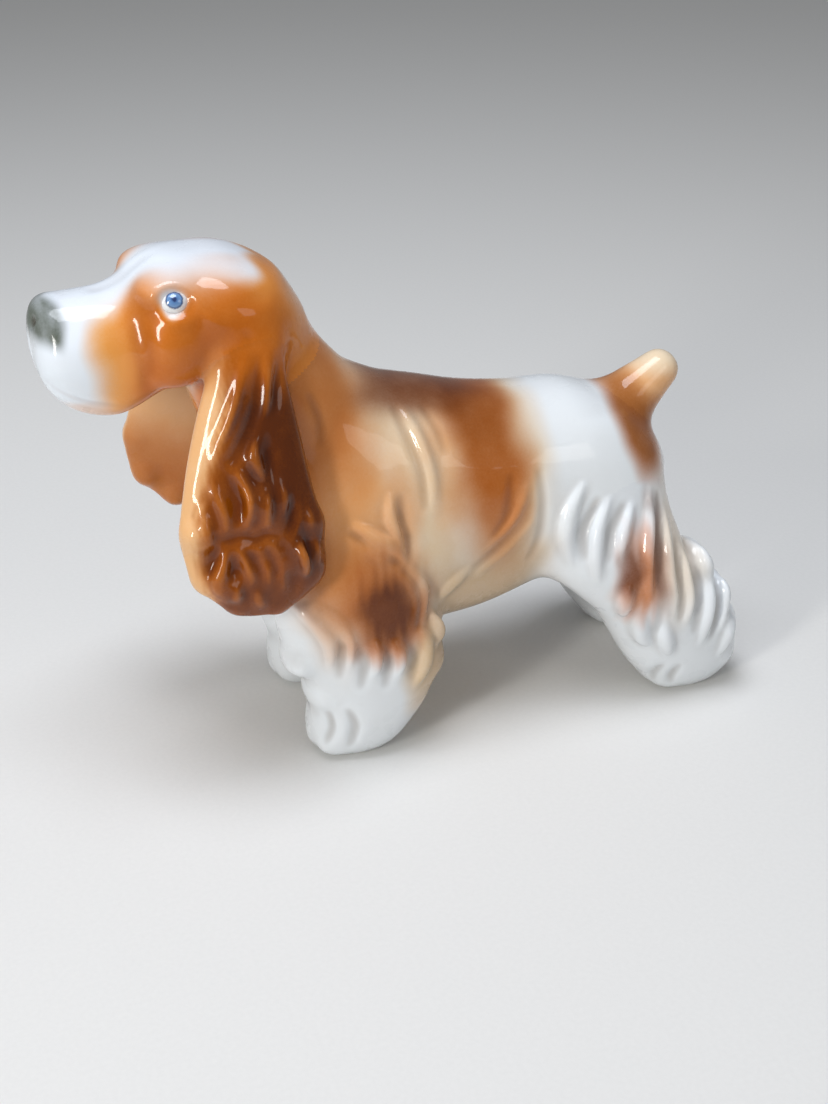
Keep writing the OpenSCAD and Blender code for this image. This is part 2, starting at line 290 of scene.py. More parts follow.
# Height, front and back as shares of the breadth, inside and outside as shares of the thickness
FORELEG = [
    (1.00, 0.32, 0.66, -0.45, -0.12), (0.88, 0.17, 0.79, -0.50, 0.14), (0.74, 0.07, 0.85, -0.54, 0.30),
    (0.60, 0.01, 0.88, -0.54, 0.42), (0.49, 0.00, 0.95, -0.53, 0.48), (0.39, 0.04, 1.03, -0.51, 0.50),
    (0.29, 0.14, 1.05, -0.48, 0.50), (0.19, 0.19, 0.97, -0.46, 0.49), (0.10, 0.17, 0.86, -0.43, 0.44),
    (0.04, 0.20, 0.77, -0.36, 0.36), (0.00, 0.31, 0.67, -0.24, 0.22)]
HIND_LEG = [
    (1.00, -0.24, 0.14, -0.60, -0.18), (0.87, -0.40, 0.31, -0.62, 0.06), (0.74, -0.47, 0.43, -0.60, 0.26),
    (0.64, -0.48, 0.50, -0.57, 0.39), (0.54, -0.42, 0.58, -0.52, 0.47), (0.45, -0.24, 0.72, -0.49, 0.50),
    (0.36, -0.06, 0.86, -0.46, 0.51), (0.25, 0.07, 0.97, -0.44, 0.50), (0.15, 0.18, 1.00, -0.42, 0.46),
    (0.075, 0.29, 0.97, -0.37, 0.39), (0.03, 0.37, 0.91, -0.31, 0.32), (0.00, 0.47, 0.81, -0.20, 0.22)]
EAR = [
    (1.00, 0.56, 0.72, -0.60, 0.02), (0.94, 0.45, 0.76, -0.55, 0.20), (0.84, 0.33, 0.80, -0.45, 0.47),
    (0.72, 0.22, 0.84, -0.30, 0.74), (0.58, 0.12, 0.88, -0.08, 1.02), (0.46, 0.05, 0.91, 0.16, 1.25),
    (0.34, 0.00, 0.95, 0.38, 1.44), (0.22, 0.01, 0.97, 0.55, 1.57), (0.12, 0.10, 0.95, 0.66, 1.60),
    (0.04, 0.25, 0.81, 0.80, 1.52), (0.00, 0.40, 0.64, 0.96, 1.40)]
# Share of the length and of the radius
TAIL = [
    (0.00, 1.70), (0.25, 1.52), (0.50, 1.28), (0.72, 1.06), (0.86, 0.94), (0.94, 0.74),
    (0.985, 0.42), (1.00, 0.12)]


def long_body(stations, front, rear, half_width, high, low, power):
    """A body that runs along Y."""
    rings = []
    for share, width, top, bottom in flowing(stations):
        top, bottom = low + top * (high - low), low + bottom * (high - low)
        half = (0, 0, (top - bottom) / 2)
        rings.append(ring((0, front + share * (rear - front), (top + bottom) / 2),
                          (-width * half_width, 0, 0), half, half, power))
    return loft(rings)


def upright_body(stations, front, breadth, middle_x, thickness, bottom, top, power):
    """A body of level rings, such as a leg or an ear."""
    rings = []
    for share, ahead, behind, inner, outer in flowing(stations):
        y1, y2 = front + ahead * breadth, front + behind * breadth
        x1, x2 = middle_x + inner * thickness, middle_x + outer * thickness
        half = ((x2 - x1) / 2, 0, 0)
        rings.append(ring(((x1 + x2) / 2, (y1 + y2) / 2, bottom + share * (top - bottom)),
                          (0, (y2 - y1) / 2, 0), half, half, power))
    return loft(rings)


def neck_body(front, crown, withers, occiput, width):
    """The neck, as the part below the collar and the part above it."""
    base = np.array([0, front + 17, withers - 17])
    axis = np.array([0, occiput - 14, crown - 11]) - base
    nape = np.array([0, axis[2], -axis[1]]) / np.linalg.norm(axis)
    rings = []
    for share, side, throat, back in flowing(NECK):
        half = width / 2
        rings.append(ring(base + share * axis, (side * half, 0, 0), nape * back * half,
                          nape * throat * half, 2))
    field = loft(rings)
    along = ((AXES[1][None, :, None] - base[1]) * axis[1]
             + (AXES[2][None, None, :] - base[2]) * axis[2]) / (axis @ axis)
    return field, np.broadcast_to(along, SHAPE) > COLLAR


# ---- Hair: paths that Geometry Nodes lay on the clay and sweep ----

def node_in(tree, kind, settings=None, links=None, place=(0, 0)):
    """Adds a node with its settings and links; a setting named by a number is an input."""
    node = tree.nodes.new(kind)
    node.location = place
    for name, value in (settings or {}).items():
        if isinstance(name, int):
            node.inputs[name].default_value = value
        else:
            setattr(node, name, value)
    for name, source in (links or {}).items():
        tree.links.new(source, node.inputs[name])
    return node


def lock_tree():
    """A node tree that drops paths onto a surface along X and sweeps tapered locks along them."""
    tree = bpy.data.node_groups.new("Hair locks", "GeometryNodeTree")
    face = tree.interface
    face.new_socket("Paths", in_out="INPUT", socket_type="NodeSocketGeometry")
    face.new_socket("Surface", in_out="INPUT", socket_type="NodeSocketObject")
    face.new_socket("Step", in_out="INPUT", socket_type="NodeSocketFloat")
    face.new_socket("Sides", in_out="INPUT", socket_type="NodeSocketInt")
    face.new_socket("Finish", in_out="INPUT", socket_type="NodeSocketMaterial")
    face.new_socket("Locks", in_out="OUTPUT", socket_type="NodeSocketGeometry")
    start = node_in(tree, "NodeGroupInput")
    given = start.outputs
    curve = node_in(tree, "GeometryNodeMeshToCurve", links={0: given["Paths"]})
    bent = node_in(tree, "GeometryNodeCurveSplineType", {"spline_type": "CATMULL_ROM"},
                   {0: curve.outputs[0]})
    even = node_in(tree, "GeometryNodeResampleCurve", {"mode": "LENGTH"},
                   {"Curve": bent.outputs[0], "Length": given["Step"]})
    surface = node_in(tree, "GeometryNodeObjectInfo", links={"Object": given["Surface"]})
    ray = node_in(tree, "GeometryNodeRaycast", links={"Target Geometry": surface.outputs["Geometry"]})
    ray.inputs["Ray Direction"].default_value = (-1, 0, 0)
    ray.inputs["Ray Length"].default_value = 0.2
    missed = node_in(tree, "FunctionNodeBooleanMath", {"operation": "NOT"}, {0: ray.outputs["Is Hit"]})
    girth = node_in(tree, "GeometryNodeInputNamedAttribute", {"data_type": "FLOAT", 0: "girth"})
    sink = node_in(tree, "GeometryNodeInputNamedAttribute", {"data_type": "FLOAT", 0: "sink"})
    down = node_in(tree, "ShaderNodeVectorMath", {"operation": "SCALE"},
                   {0: ray.outputs["Hit Normal"], "Scale": sink.outputs[0]})
    rest = node_in(tree, "ShaderNodeVectorMath", {"operation": "SUBTRACT"},
                   {0: ray.outputs["Hit Position"], 1: down.outputs[0]})
    laid = node_in(tree, "GeometryNodeSetPosition",
                   links={"Geometry": even.outputs[0], "Selection": ray.outputs["Is Hit"],
                          "Position": rest.outputs[0]})
    kept = node_in(tree, "GeometryNodeDeleteGeometry", {"domain": "POINT"},
                   {"Geometry": laid.outputs[0], "Selection": missed.outputs[0]})
    along = node_in(tree, "GeometryNodeSplineParameter")
    half = node_in(tree, "ShaderNodeMath", {"operation": "MULTIPLY", 1: math.pi},
                   {0: along.outputs["Factor"]})
    arch = node_in(tree, "ShaderNodeMath", {"operation": "SINE"}, {0: half.outputs[0]})
    full = node_in(tree, "ShaderNodeMath", {"operation": "ADD", 1: 0.03}, {0: arch.outputs[0]})
    taper = node_in(tree, "ShaderNodeMath", {"operation": "POWER", 1: 0.6}, {0: full.outputs[0]})
    girth_here = node_in(tree, "ShaderNodeMath", {"operation": "MULTIPLY"},
                         {0: taper.outputs[0], 1: girth.outputs[0]})
    round_ = node_in(tree, "GeometryNodeCurvePrimitiveCircle", {"mode": "RADIUS"},
                     {"Resolution": given["Sides"]})
    round_.inputs["Radius"].default_value = 1
    swept = node_in(tree, "GeometryNodeCurveToMesh",
                    links={"Curve": kept.outputs[0], "Profile Curve": round_.outputs[0],
                           "Scale": girth_here.outputs[0]})
    swept.inputs["Fill Caps"].default_value = True
    real = node_in(tree, "GeometryNodeRealizeInstances", links={0: swept.outputs[0]})
    dressed = node_in(tree, "GeometryNodeSetMaterial",
                      links={"Geometry": real.outputs[0], "Material": given["Finish"]})
    end = node_in(tree, "NodeGroupOutput")
    tree.links.new(dressed.outputs[0], end.inputs[0])
    return tree


def plain_object(name, points, edges=(), faces=()):
    """A mesh object in the scene, from points in metres."""
    mesh = bpy.data.meshes.new(name)
    mesh.from_pydata([tuple(p) for p in points], edges, faces)
    made = bpy.data.objects.new(name, mesh)
    bpy.context.scene.collection.objects.link(made)
    return made


def surface_mesh(field, low):
    """The field's zero surface, as points in millimetres and quads; low is its grid's first corner."""
    grid = vdb.FloatGrid(background=BAND)
    grid.copyFromArray(np.ascontiguousarray(field, dtype=np.float32))
    grid.transform = vdb.createLinearTransform(VOXEL)
    points, quads = grid.convertToQuads(isovalue=0)
    return points + low, quads


def lay_locks(field, rows, soft, cut=False):
    """Sweeps a lock along each row's path over the field's surface and joins it or cuts it away.

    A row is the lock's radius, how deep its middle lies under the surface and its path's (y, z) points.
    """
    points, quads = surface_mesh(field, GRID_LOW)
    skin = plain_object("lock_bed", points * MM, faces=[tuple(q) for q in quads.tolist()])
    spots, edges, girths, sinks = [], [], [], []
    far = GRID_HIGH[0] + 10
    for radius, sink, path in rows:
        for i, (y, z) in enumerate(path):
            if i:
                edges.append((len(spots) - 1, len(spots)))
            spots.append((far * MM, y * MM, z * MM))
            girths.append(radius * MM)
            sinks.append(sink * MM)
    paths = plain_object("lock_paths", spots, edges)
    for name, values in (("girth", girths), ("sink", sinks)):
        paths.data.attributes.new(name, "FLOAT", "POINT").data.foreach_set("value", values)
    tree = bpy.data.node_groups.get("Hair locks") or lock_tree()
    modifier = paths.modifiers.new("Hair locks", "NODES")
    modifier.node_group = tree
    socket = {item.name: item.identifier for item in tree.interface.items_tree}
    modifier[socket["Surface"]] = skin
    modifier[socket["Step"]] = bpy.context.scene.spaniel_sizes.lock_step
    modifier[socket["Sides"]] = 12
    seen = paths.evaluated_get(bpy.context.evaluated_depsgraph_get())
    swept = bpy.data.meshes.new_from_object(seen)
    swept.calc_loop_triangles()
    corners = np.empty(len(swept.vertices) * 3, np.float32)
    swept.vertices.foreach_get("co", corners)
    faces = np.empty(len(swept.loop_triangles) * 3, np.int32)
    swept.loop_triangles.foreach_get("vertices", faces)
    if not len(faces):
        raise RuntimeError("the hair paths missed the clay")
    tubes = field_of(corners.reshape(-1, 3) / MM, triangles=faces.reshape(-1, 3))
    for made in (paths, skin):
        mesh = made.data
        bpy.data.objects.remove(made)
        bpy.data.meshes.remove(mesh)
    bpy.data.meshes.remove(swept)
    return carved(field, tubes, soft) if cut else joined(field, tubes, soft)


# ---- Where the locks, folds and creases run: radius, depth and (y, z) points in mm ----

HEAD_CREASES = [
    (2.5, -2.0, [(-54.5, 105.5), (-56, 102), (-56, 98), (-55, 94), (-53.5, 90.5), (-50.5, 87.5)]),
    (0.6, -0.1, [(-74.5, 89.5), (-71, 86.5), (-66, 84), (-60, 82.5)]),
    (0.5, 0.1, [(-37, 98), (-36, 95), (-35.5, 92)]),
]
HEAD_FOLDS = [
    (0.75, 0.25, [(-53.5, 102.6), (-52, 101), (-49.5, 100.2), (-47.2, 100.7), (-45.6, 102)]),
    (0.55, 0.1, [(-52.7, 103.6), (-51.2, 102), (-49.3, 101.4), (-47.2, 102), (-46, 103)]),
    (0.7, 0.3, [(-53, 104.4), (-51.8, 106.7), (-49.5, 107.7), (-47.2, 106.9), (-45.6, 104.2)]),
    (1.0, 0.5, [(-46, 103), (-43.5, 101), (-40.5, 98.6)]),
]
THROAT_CREASES = [
    (0.6, 0.1, [(-40, 79), (-39, 74), (-36.5, 69)]),
    (0.6, 0.1, [(-38, 72), (-35.5, 66), (-33, 61)]),
]
EAR_LOCKS = [
    (2.2, 0.85, [(-37.2, 94), (-39.2, 87), (-41.5, 82), (-44.3, 77.5), (-46.5, 73)]),
    (1.2, 0.35, [(-36.3, 92), (-37.6, 86), (-40, 81), (-43.2, 77), (-44.5, 74)]),
    (1.5, 0.45, [(-33.2, 93), (-33.6, 89), (-35, 84), (-36.5, 81)]),
    (1.6, 0.35, [(-37.6, 79.5), (-38.2, 76), (-37.6, 72.5), (-36.4, 69.5)]),
    (1.9, 0.65, [(-43.2, 74.5), (-41.2, 71.5), (-40.2, 68), (-40.6, 64), (-42, 60.5)]),
    (1.3, 0.35, [(-46.6, 72), (-46.2, 69), (-45.3, 66), (-45, 63), (-46, 60.5)]),
    (1.5, 0.45, [(-49.3, 68), (-49, 64.5), (-48.6, 61.5), (-48, 58)]),
    (1.6, 0.45, [(-36, 68.5), (-37, 65.5), (-37, 62.5), (-36, 60)]),
    (1.3, 0.45, [(-33.5, 70), (-33, 66), (-33.5, 62.5)]),
    (1.1, 0.35, [(-30, 66), (-30.6, 62), (-32.5, 58), (-34, 55.5)]),
    (1, 0.35, [(-28.4, 64.5), (-28.2, 61), (-29, 58)]),
    (1.9, 0.65, [(-31, 59), (-30.6, 55.5), (-30, 52), (-30.3, 49)]),
    (1.5, 0.45, [(-28.3, 58), (-27.2, 54.5), (-27.2, 51)]),
    (2.1, 0.75, [(-44.5, 59), (-46.2, 55.5), (-47.8, 52), (-48, 48.5)]),
    (1.5, 0.35, [(-43.8, 58.5), (-42, 55.5), (-41, 52.5), (-41.5, 49)]),
    (1.3, 0.35, [(-40.5, 59), (-38.6, 56), (-37.5, 52.5), (-38, 48.5)]),
    (1.3, 0.35, [(-37.8, 59), (-35.6, 56), (-34.4, 52), (-34.8, 47.5)]),
    (1.5, 0.45, [(-44.5, 53), (-44.6, 49.5), (-43.2, 46)]),
    (1.5, 0.45, [(-40.5, 50), (-39.8, 46.5), (-38.5, 44)]),
]
EAR_GROOVES = [
    (1.6, -0.65, [(-35.6, 92), (-36.3, 87), (-37.8, 82.5), (-40, 78), (-42, 74.5), (-43.5, 71)]),
    (0.9, -0.2, [(-37.5, 90), (-38.6, 86), (-41, 81), (-43.6, 77.8)]),
    (1.4, -0.45, [(-43.8, 73), (-42.6, 69), (-42.2, 65), (-43.3, 61)]),
    (1.2, -0.5, [(-41, 74), (-39, 70.5), (-38.3, 66.5), (-39, 62.5), (-40.5, 60.5)]),
    (1.6, -0.65, [(-47, 61), (-44.5, 60), (-42, 60.5), (-39.5, 59.5), (-37, 60.4), (-34.5, 59)]),
    (1.4, -0.45, [(-46.8, 59), (-48.3, 56), (-49.6, 53)]),
    (1.4, -0.45, [(-45, 58), (-44, 54.5), (-45, 51), (-46, 48)]),
    (1.2, -0.5, [(-41.5, 58), (-40, 55), (-39.4, 51.5)]),
    (1.2, -0.5, [(-38.5, 58), (-36.6, 54.5), (-36, 51)]),
    (1.8, -0.85, [(-34, 59), (-33.4, 55.5), (-32.6, 52), (-32.3, 48), (-32.3, 45)]),
    (1.0, -0.3, [(-31.5, 66), (-31.8, 62), (-33, 59)]),
    (1.0, -0.3, [(-29.2, 60), (-28.8, 56.5), (-28.7, 52)]),
    (1.2, -0.5, [(-35.2, 79), (-35, 74), (-35, 70)]),
    (1.2, -0.5, [(-31, 92), (-31.8, 87), (-32.8, 82)]),
]
FORE_FOLDS = [
    (1.75, 0.35, [(-17.5, 56), (-13.5, 52.5), (-9.5, 50), (-7, 46.5)]),
    (1.35, 0.2, [(-16.5, 53), (-13, 49.5), (-10, 47)]),
    (1.65, 0.35, [(-9.6, 61), (-9.8, 56), (-8.2, 51.5), (-8.6, 47.5)]),
    (1.25, 0.2, [(-8.4, 44), (-5.4, 40), (-4.2, 36), (-5.8, 31)]),
    (1.25, 0.2, [(-6.4, 44), (-3, 40), (-2.3, 35.5), (-3.6, 31)]),
    (2.05, 0.55, [(-31.5, 40), (-27, 36), (-24.5, 31), (-24.5, 25)]),
    (1.65, 0.35, [(-28, 40), (-23.5, 36), (-20.5, 31), (-20.5, 25)]),
    (1.75, 0.35, [(-15.5, 31), (-14.5, 27), (-15.5, 22)]),
    (1.75, 0.35, [(-11, 30), (-9.5, 26), (-10, 21)]),
    (1.75, 0.35, [(-5, 31), (-2.8, 27), (-3.3, 22), (-6, 17)]),
    (1.55, 0.25, [(-1, 33), (0.8, 29), (0.3, 24.5)]),
]
FORE_CREASES = [
    (0.75, 0.1, [(-18.5, 54.2), (-15, 51), (-11.5, 48.3), (-8.5, 46)]),
    (0.75, 0.1, [(-7.3, 60), (-7, 55), (-5.8, 50), (-5.6, 46)]),
    (0.7, 0.1, [(-7.4, 44.5), (-4.3, 40), (-3.3, 35.8), (-4.8, 31)]),
    (0.85, 0.1, [(-26, 39), (-22.5, 34), (-22.3, 28), (-22.8, 23)]),
    (0.85, 0.1, [(-18.5, 30), (-17.6, 25), (-18.2, 20)]),
    (0.85, 0.1, [(-12.6, 28.5), (-12.2, 24), (-12.8, 19.5)]),
    (0.85, 0.1, [(-7.5, 30), (-6.4, 25.5), (-7, 20)]),
    (1.05, 0.1, [(-25, 13), (-24.6, 9), (-26, 4)]),
    (1.05, 0.1, [(-21, 14), (-19.6, 9.5), (-20.4, 4)]),
]
HIND_FOLDS = [
    (2.2, 0.65, [(34, 56), (30.5, 50), (29.5, 44), (30.5, 38)]),
    (1.9, 0.55, [(40, 52), (36.5, 46), (35.5, 40), (36, 34)]),
    (1.7, 0.45, [(45.5, 50), (42.5, 45), (41, 39)]),
    (1.7, 0.35, [(50.5, 52), (49.4, 46), (48.2, 41), (47.5, 35), (48.5, 28)]),
    (1.5, 0.35, [(54.6, 46), (53.6, 40), (53.5, 34), (54.5, 28), (54.4, 22)]),
    (1.7, 0.45, [(58.2, 38), (58, 32), (58.4, 26), (57.5, 20)]),
    (2.0, 0.55, [(63.2, 37), (64.6, 31), (64.5, 25), (63.2, 19), (62, 14)]),
    (1.9, 0.55, [(67.6, 34), (69, 28), (68.8, 22), (67.6, 16)]),
    (2.0, 0.55, [(43, 33), (42.3, 28), (42.6, 23.5)]),
    (2.2, 0.65, [(46, 24), (47, 19), (49.5, 15)]),
    (2.0, 0.55, [(52, 21), (53, 16.5), (54.5, 12)]),
    (1.9, 0.55, [(70.5, 22), (70.6, 17), (69.5, 12.5), (68, 9)]),
]
HIND_CREASES = [
    (0.85, 0.1, [(37, 52), (33.4, 46), (32.8, 40)]),
    (0.75, 0.1, [(43, 50), (39.6, 45), (38.4, 39)]),
    (0.95, 0.1, [(53, 50), (51.8, 44), (50.8, 39), (50.6, 33), (51.2, 26), (50.4, 20)]),
    (0.85, 0.1, [(56.5, 40), (56, 34), (56.5, 28), (56, 22)]),
    (0.95, 0.1, [(60.6, 38), (61, 31), (61.2, 25), (60, 18)]),
    (0.95, 0.1, [(65.6, 36), (67, 29), (66.6, 22), (65, 15)]),
    (0.85, 0.1, [(71, 27), (71.6, 21), (70.8, 16)]),
    (0.95, 0.1, [(53.5, 9), (52.6, 5), (53, 2)]),
    (0.95, 0.1, [(57.6, 8.5), (56.6, 5), (57, 2)]),
]
TRUNK_CREASES = [
    (0.6, 0.1, [(-5.5, 76), (-4, 70), (-2.6, 64), (-2.4, 57)]),
    (0.4, 0.1, [(1, 75), (2.8, 71), (3.2, 67.5)]),
    (0.6, 0.1, [(17.5, 60), (17, 56), (16, 52), (13, 48)]),
    (0.5, 0.1, [(20.5, 53), (18, 49), (14, 45), (9, 41)]),
    (0.5, 0.1, [(21, 47), (17.5, 43), (12, 39)]),
    (0.6, 0.1, [(24, 60), (24.5, 53), (24, 46), (22, 40)]),
    (0.5, 0.1, [(-24, 82), (-22.5, 77), (-22.6, 72)]),
]
TRUNK_FOLDS = [
    (1.6, 0.9, [(-3.4, 76), (-1.8, 70), (-0.4, 63), (-0.2, 56)]),
    (1.4, 0.8, [(21, 58), (19, 52.5), (16, 48.5), (12, 45)]),
    (1.3, 0.7, [(22.5, 50), (19.5, 46), (15, 42), (9.5, 38.5)]),
    (1.5, 0.8, [(8, 41), (4, 37), (2, 33)]),
]


# ---- Sculpting ----

# What the fillets and locks add to the body and to the ears, in mm, taken off again
SHRINK, EAR_SHRINK = 0.45, 0.3


class SPANIEL_OT_trunk(bpy.types.Operator):
    """Blend the trunk, the neck and the skull"""

    bl_idname = "spaniel.trunk"
    bl_label = "Trunk and head"

    def execute(self, context):
        sizes = context.scene.spaniel_sizes
        withers, belly = sizes.withers / MM, sizes.belly / MM
        chest = FORE_LOW[1] - 3
        occiput = HEAD_LOW[1] + 52
        trunk = long_body(TRUNK, chest, TORSO_HIGH[1], TORSO_HIGH[0], withers, belly, 2.2)
        neck, above = neck_body(chest, HEAD_HIGH[2], withers, occiput, sizes.neck_width / MM)
        skull = long_body(HEAD, HEAD_LOW[1], occiput, HEAD_HIGH[0], HEAD_HIGH[2], HEAD_HIGH[2] - 32, 2.4)
        head = np.minimum(skull, np.where(above, neck, BAND))
        low_neck = np.where(above, BAND, neck)
        clay["owner"] = np.where(head < np.minimum(trunk, low_neck), OWN_HEAD, OWN_TRUNK).astype(np.int8)
        clay["nearest"] = np.minimum(np.minimum(trunk, neck), skull)
        clay["body"] = joined(joined(trunk, neck, 8), skull, 4)
        return {"FINISHED"}


# How far a leg runs on below the table before its sole is cut flat, and the distance between toes
SOLE, TOE_GAP = 0.3, 4.1
# A leg's stations, its breadth from front to back, the height of its top and where its front lies
LEGS = {
    OWN_FORELEG: (FORELEG, 34, 70, FORE_LOW[1]),
    OWN_HIND_LEG: (HIND_LEG, 33, 64, HIND_HIGH[1] - 33),
}
# Tufts on the front and back edges of a leg: share of its breadth, and height
CURLS = {
    OWN_FORELEG: [(0.93, 28), (0.95, 20), (0.80, 12), (0.11, 25), (0.25, 16)],
    OWN_HIND_LEG: [(0.61, 32), (0.77, 24), (0.87, 15.5), (0.87, 7.5), (0.05, 27), (0.22, 18)],
}


def add_member(field, owner, soft):
    """Blends one more member into the body and notes where it is the nearest."""
    clay["owner"][field < clay["nearest"]] = owner
    clay["nearest"] = np.minimum(clay["nearest"], field)
    clay["body"] = joined(clay["body"], field, soft)


class SPANIEL_OT_legs(bpy.types.Operator):
    """Add the feathered legs with their toes"""

    bl_idname = "spaniel.legs"
    bl_label = "Legs"

    def execute(self, context):
        thick = context.scene.spaniel_sizes.leg_thickness / MM
        for owner, (stations, breadth, top, front) in LEGS.items():
            leg = upright_body(stations, front, breadth, STANCE, thick, -SOLE, top, 2.3)
            edge = front + stations[-1][1] * breadth
            for behind, height in CURLS[owner]:
                dab(leg, (STANCE + 1, front + behind * breadth, height), (6.5, 3.4, 3.6), 1.5)
            for side, ahead in ((-1, 0.4), (0, -0.6), (1, 0.5)):
                dab(leg, (STANCE + side * TOE_GAP, edge + ahead, 4.2), (2.7, 4.4, 3.7), 0.8)
            add_member(leg, owner, 5)
        return {"FINISHED"}


# Degrees above level, and the length and radius in mm
TAIL_RISE, TAIL_LENGTH, TAIL_RADIUS = 39, 20, 4.4


class SPANIEL_OT_tail(bpy.types.Operator):
    """Add the docked tail"""

    bl_idname = "spaniel.tail"
    bl_label = "Tail"

    def execute(self, context):
        rise = math.radians(TAIL_RISE)
        way = np.array([0, math.cos(rise), math.sin(rise)])
        above = np.array([0, -math.sin(rise), math.cos(rise)])
        root = np.array([0, TORSO_HIGH[1] - 13, context.scene.spaniel_sizes.withers / MM - 18])
        rings = []
        for share, girth in flowing(TAIL):
            half = girth * TAIL_RADIUS
            rings.append(ring(root + share * TAIL_LENGTH * way, (-half, 0, 0), half * above,
                              half * above, 2))
        add_member(loft(rings), OWN_TAIL, 4)
        clay["body"] = smoothed(clay["body"], 0.9)
        return {"FINISHED"}


# Distance from the middle, distance behind the nose and height, then the radii and the fillet
FACE_SWELLS = [
    (9.0, 25, 105.0, (5.0, 5.0, 2.6), 3.0),  # brow
    (10.8, 26, 94, (5.6, 6.5, 7.5), 3.0),  # cheek
    (6.2, 9, 91.5, (4.8, 7.6, 7.0), 3.0),  # flew
    (12.5, 36, 99, (4.5, 6, 5), 3.0),  # ear base
    (0, 4.2, 99.4, (5.0, 3.4, 4.0), 1.6),  # nose
    (0, 10.5, 85.5, (5.5, 6, 4.5), 2.5),  # chin
]
FACE_HOLLOWS = [
    (15.2, 25.6, 104.4, (2.2, 3.2, 2.6), 1.2, turned(roll=-35)),  # eye socket
    (3.0, 0.2, 99.6, (1.0, 1.2, 0.8), 0.5, None),  # nostril
    (0, -0.6, 92.5, (0.5, 1.3, 3.5), 0.7, None),  # lip groove
    (0, 19, 109.6, (1.6, 6, 1.4), 2.5, turned(tilt=35)),  # furrow of the forehead
]


class SPANIEL_OT_face(bpy.types.Operator):
    """Model the muzzle, nose, mouth, cheeks, brows and eyelids"""

    bl_idname = "spaniel.face"
    bl_label = "Face"

    def execute(self, context):
        body = clay["body"]
        for x, behind, z, radii, soft in FACE_SWELLS:
            dab(body, (x, HEAD_LOW[1] + behind, z), radii, soft)
        for x, behind, z, radii, soft, turn in FACE_HOLLOWS:
            dab(body, (x, HEAD_LOW[1] + behind, z), radii, soft, cut=True, turn=turn)
        body = lay_locks(body, HEAD_CREASES, 0.9, cut=True)
        body = lay_locks(body, HEAD_FOLDS, 0.5)
        clay["body"] = lay_locks(body, THROAT_CREASES, 0.6, cut=True)
        return {"FINISHED"}


class SPANIEL_OT_coat(bpy.types.Operator):
    """Lay the locks and folds of the trunk and the legs"""

    bl_idname = "spaniel.coat"
    bl_label = "Coat"

    def execute(self, context):
        body = lay_locks(clay["body"], TRUNK_FOLDS + FORE_FOLDS + HIND_FOLDS, 1.3)
        body = lay_locks(body, TRUNK_CREASES + FORE_CREASES + HIND_CREASES, 1.0, cut=True)
        clay["body"] = smoothed(body, 0.5) + SHRINK
        return {"FINISHED"}


# Tufts round the edge of the ear's lobe and on its outer face, as (x, y, z) in mm
EAR_TUFTS = [(24, -50.4, 60.5), (24, -49.2, 51.5), (24, -43, 45.6), (24, -35.2, 44.2), (24, -28.2, 49.4),
             (23, -27.4, 59), (26, -45.5, 50.5), (26, -31.5, 53.5), (24, -38.5, 66)]
EAR_FRONT, EAR_BREADTH, EAR_MIDDLE = HEAD_LOW[1] + 21.5, 30, 15
EAR_BOTTOM, EAR_TOP = HEAD_HIGH[2] - 68.5, HEAD_HIGH[2] - 9.5
# How much higher and further back each ear hangs, in mm
EAR_HANG = (("left", 0, 0), ("right", 2, -1.5))


class SPANIEL_OT_ears(bpy.types.Operator):
    """Model each long ear with its locks and hang it on the head"""

    bl_idname = "spaniel.ears"
    bl_label = "Ears"

    def execute(self, context):
        thick = context.scene.spaniel_sizes.ear_thickness / MM
        ear = upright_body(EAR, EAR_FRONT, EAR_BREADTH, EAR_MIDDLE, thick, EAR_BOTTOM, EAR_TOP, 2.2)
        for x, y, z in EAR_TUFTS:
            dab(ear, (x, y, z), (3.6, 3.2, 3.8), 1.6)
        ear = lay_locks(ear, EAR_LOCKS, 1.2) + EAR_SHRINK
        ear = smoothed(lay_locks(ear, EAR_GROOVES, 1.2, cut=True), 0.5)
        root = np.clip((AXES[2] - 84) / 10, 0, 1)[None, None, :]
        for name, lift, ahead in EAR_HANG:
            hung = np.roll(ear, (round(ahead / VOXEL), round(lift / VOXEL)), (1, 2))
            owner = clay["owner"].copy()
            owner[hung < clay["nearest"]] = OWN_EAR
            clay[name + "_owner"] = owner
            clay[name + "_ear"] = hung
            clay[name] = smoothed(joined(clay["body"], hung, 0.7 + 3.3 * root), 0.3)
        return {"FINISHED"}


# ---- Glaze ----

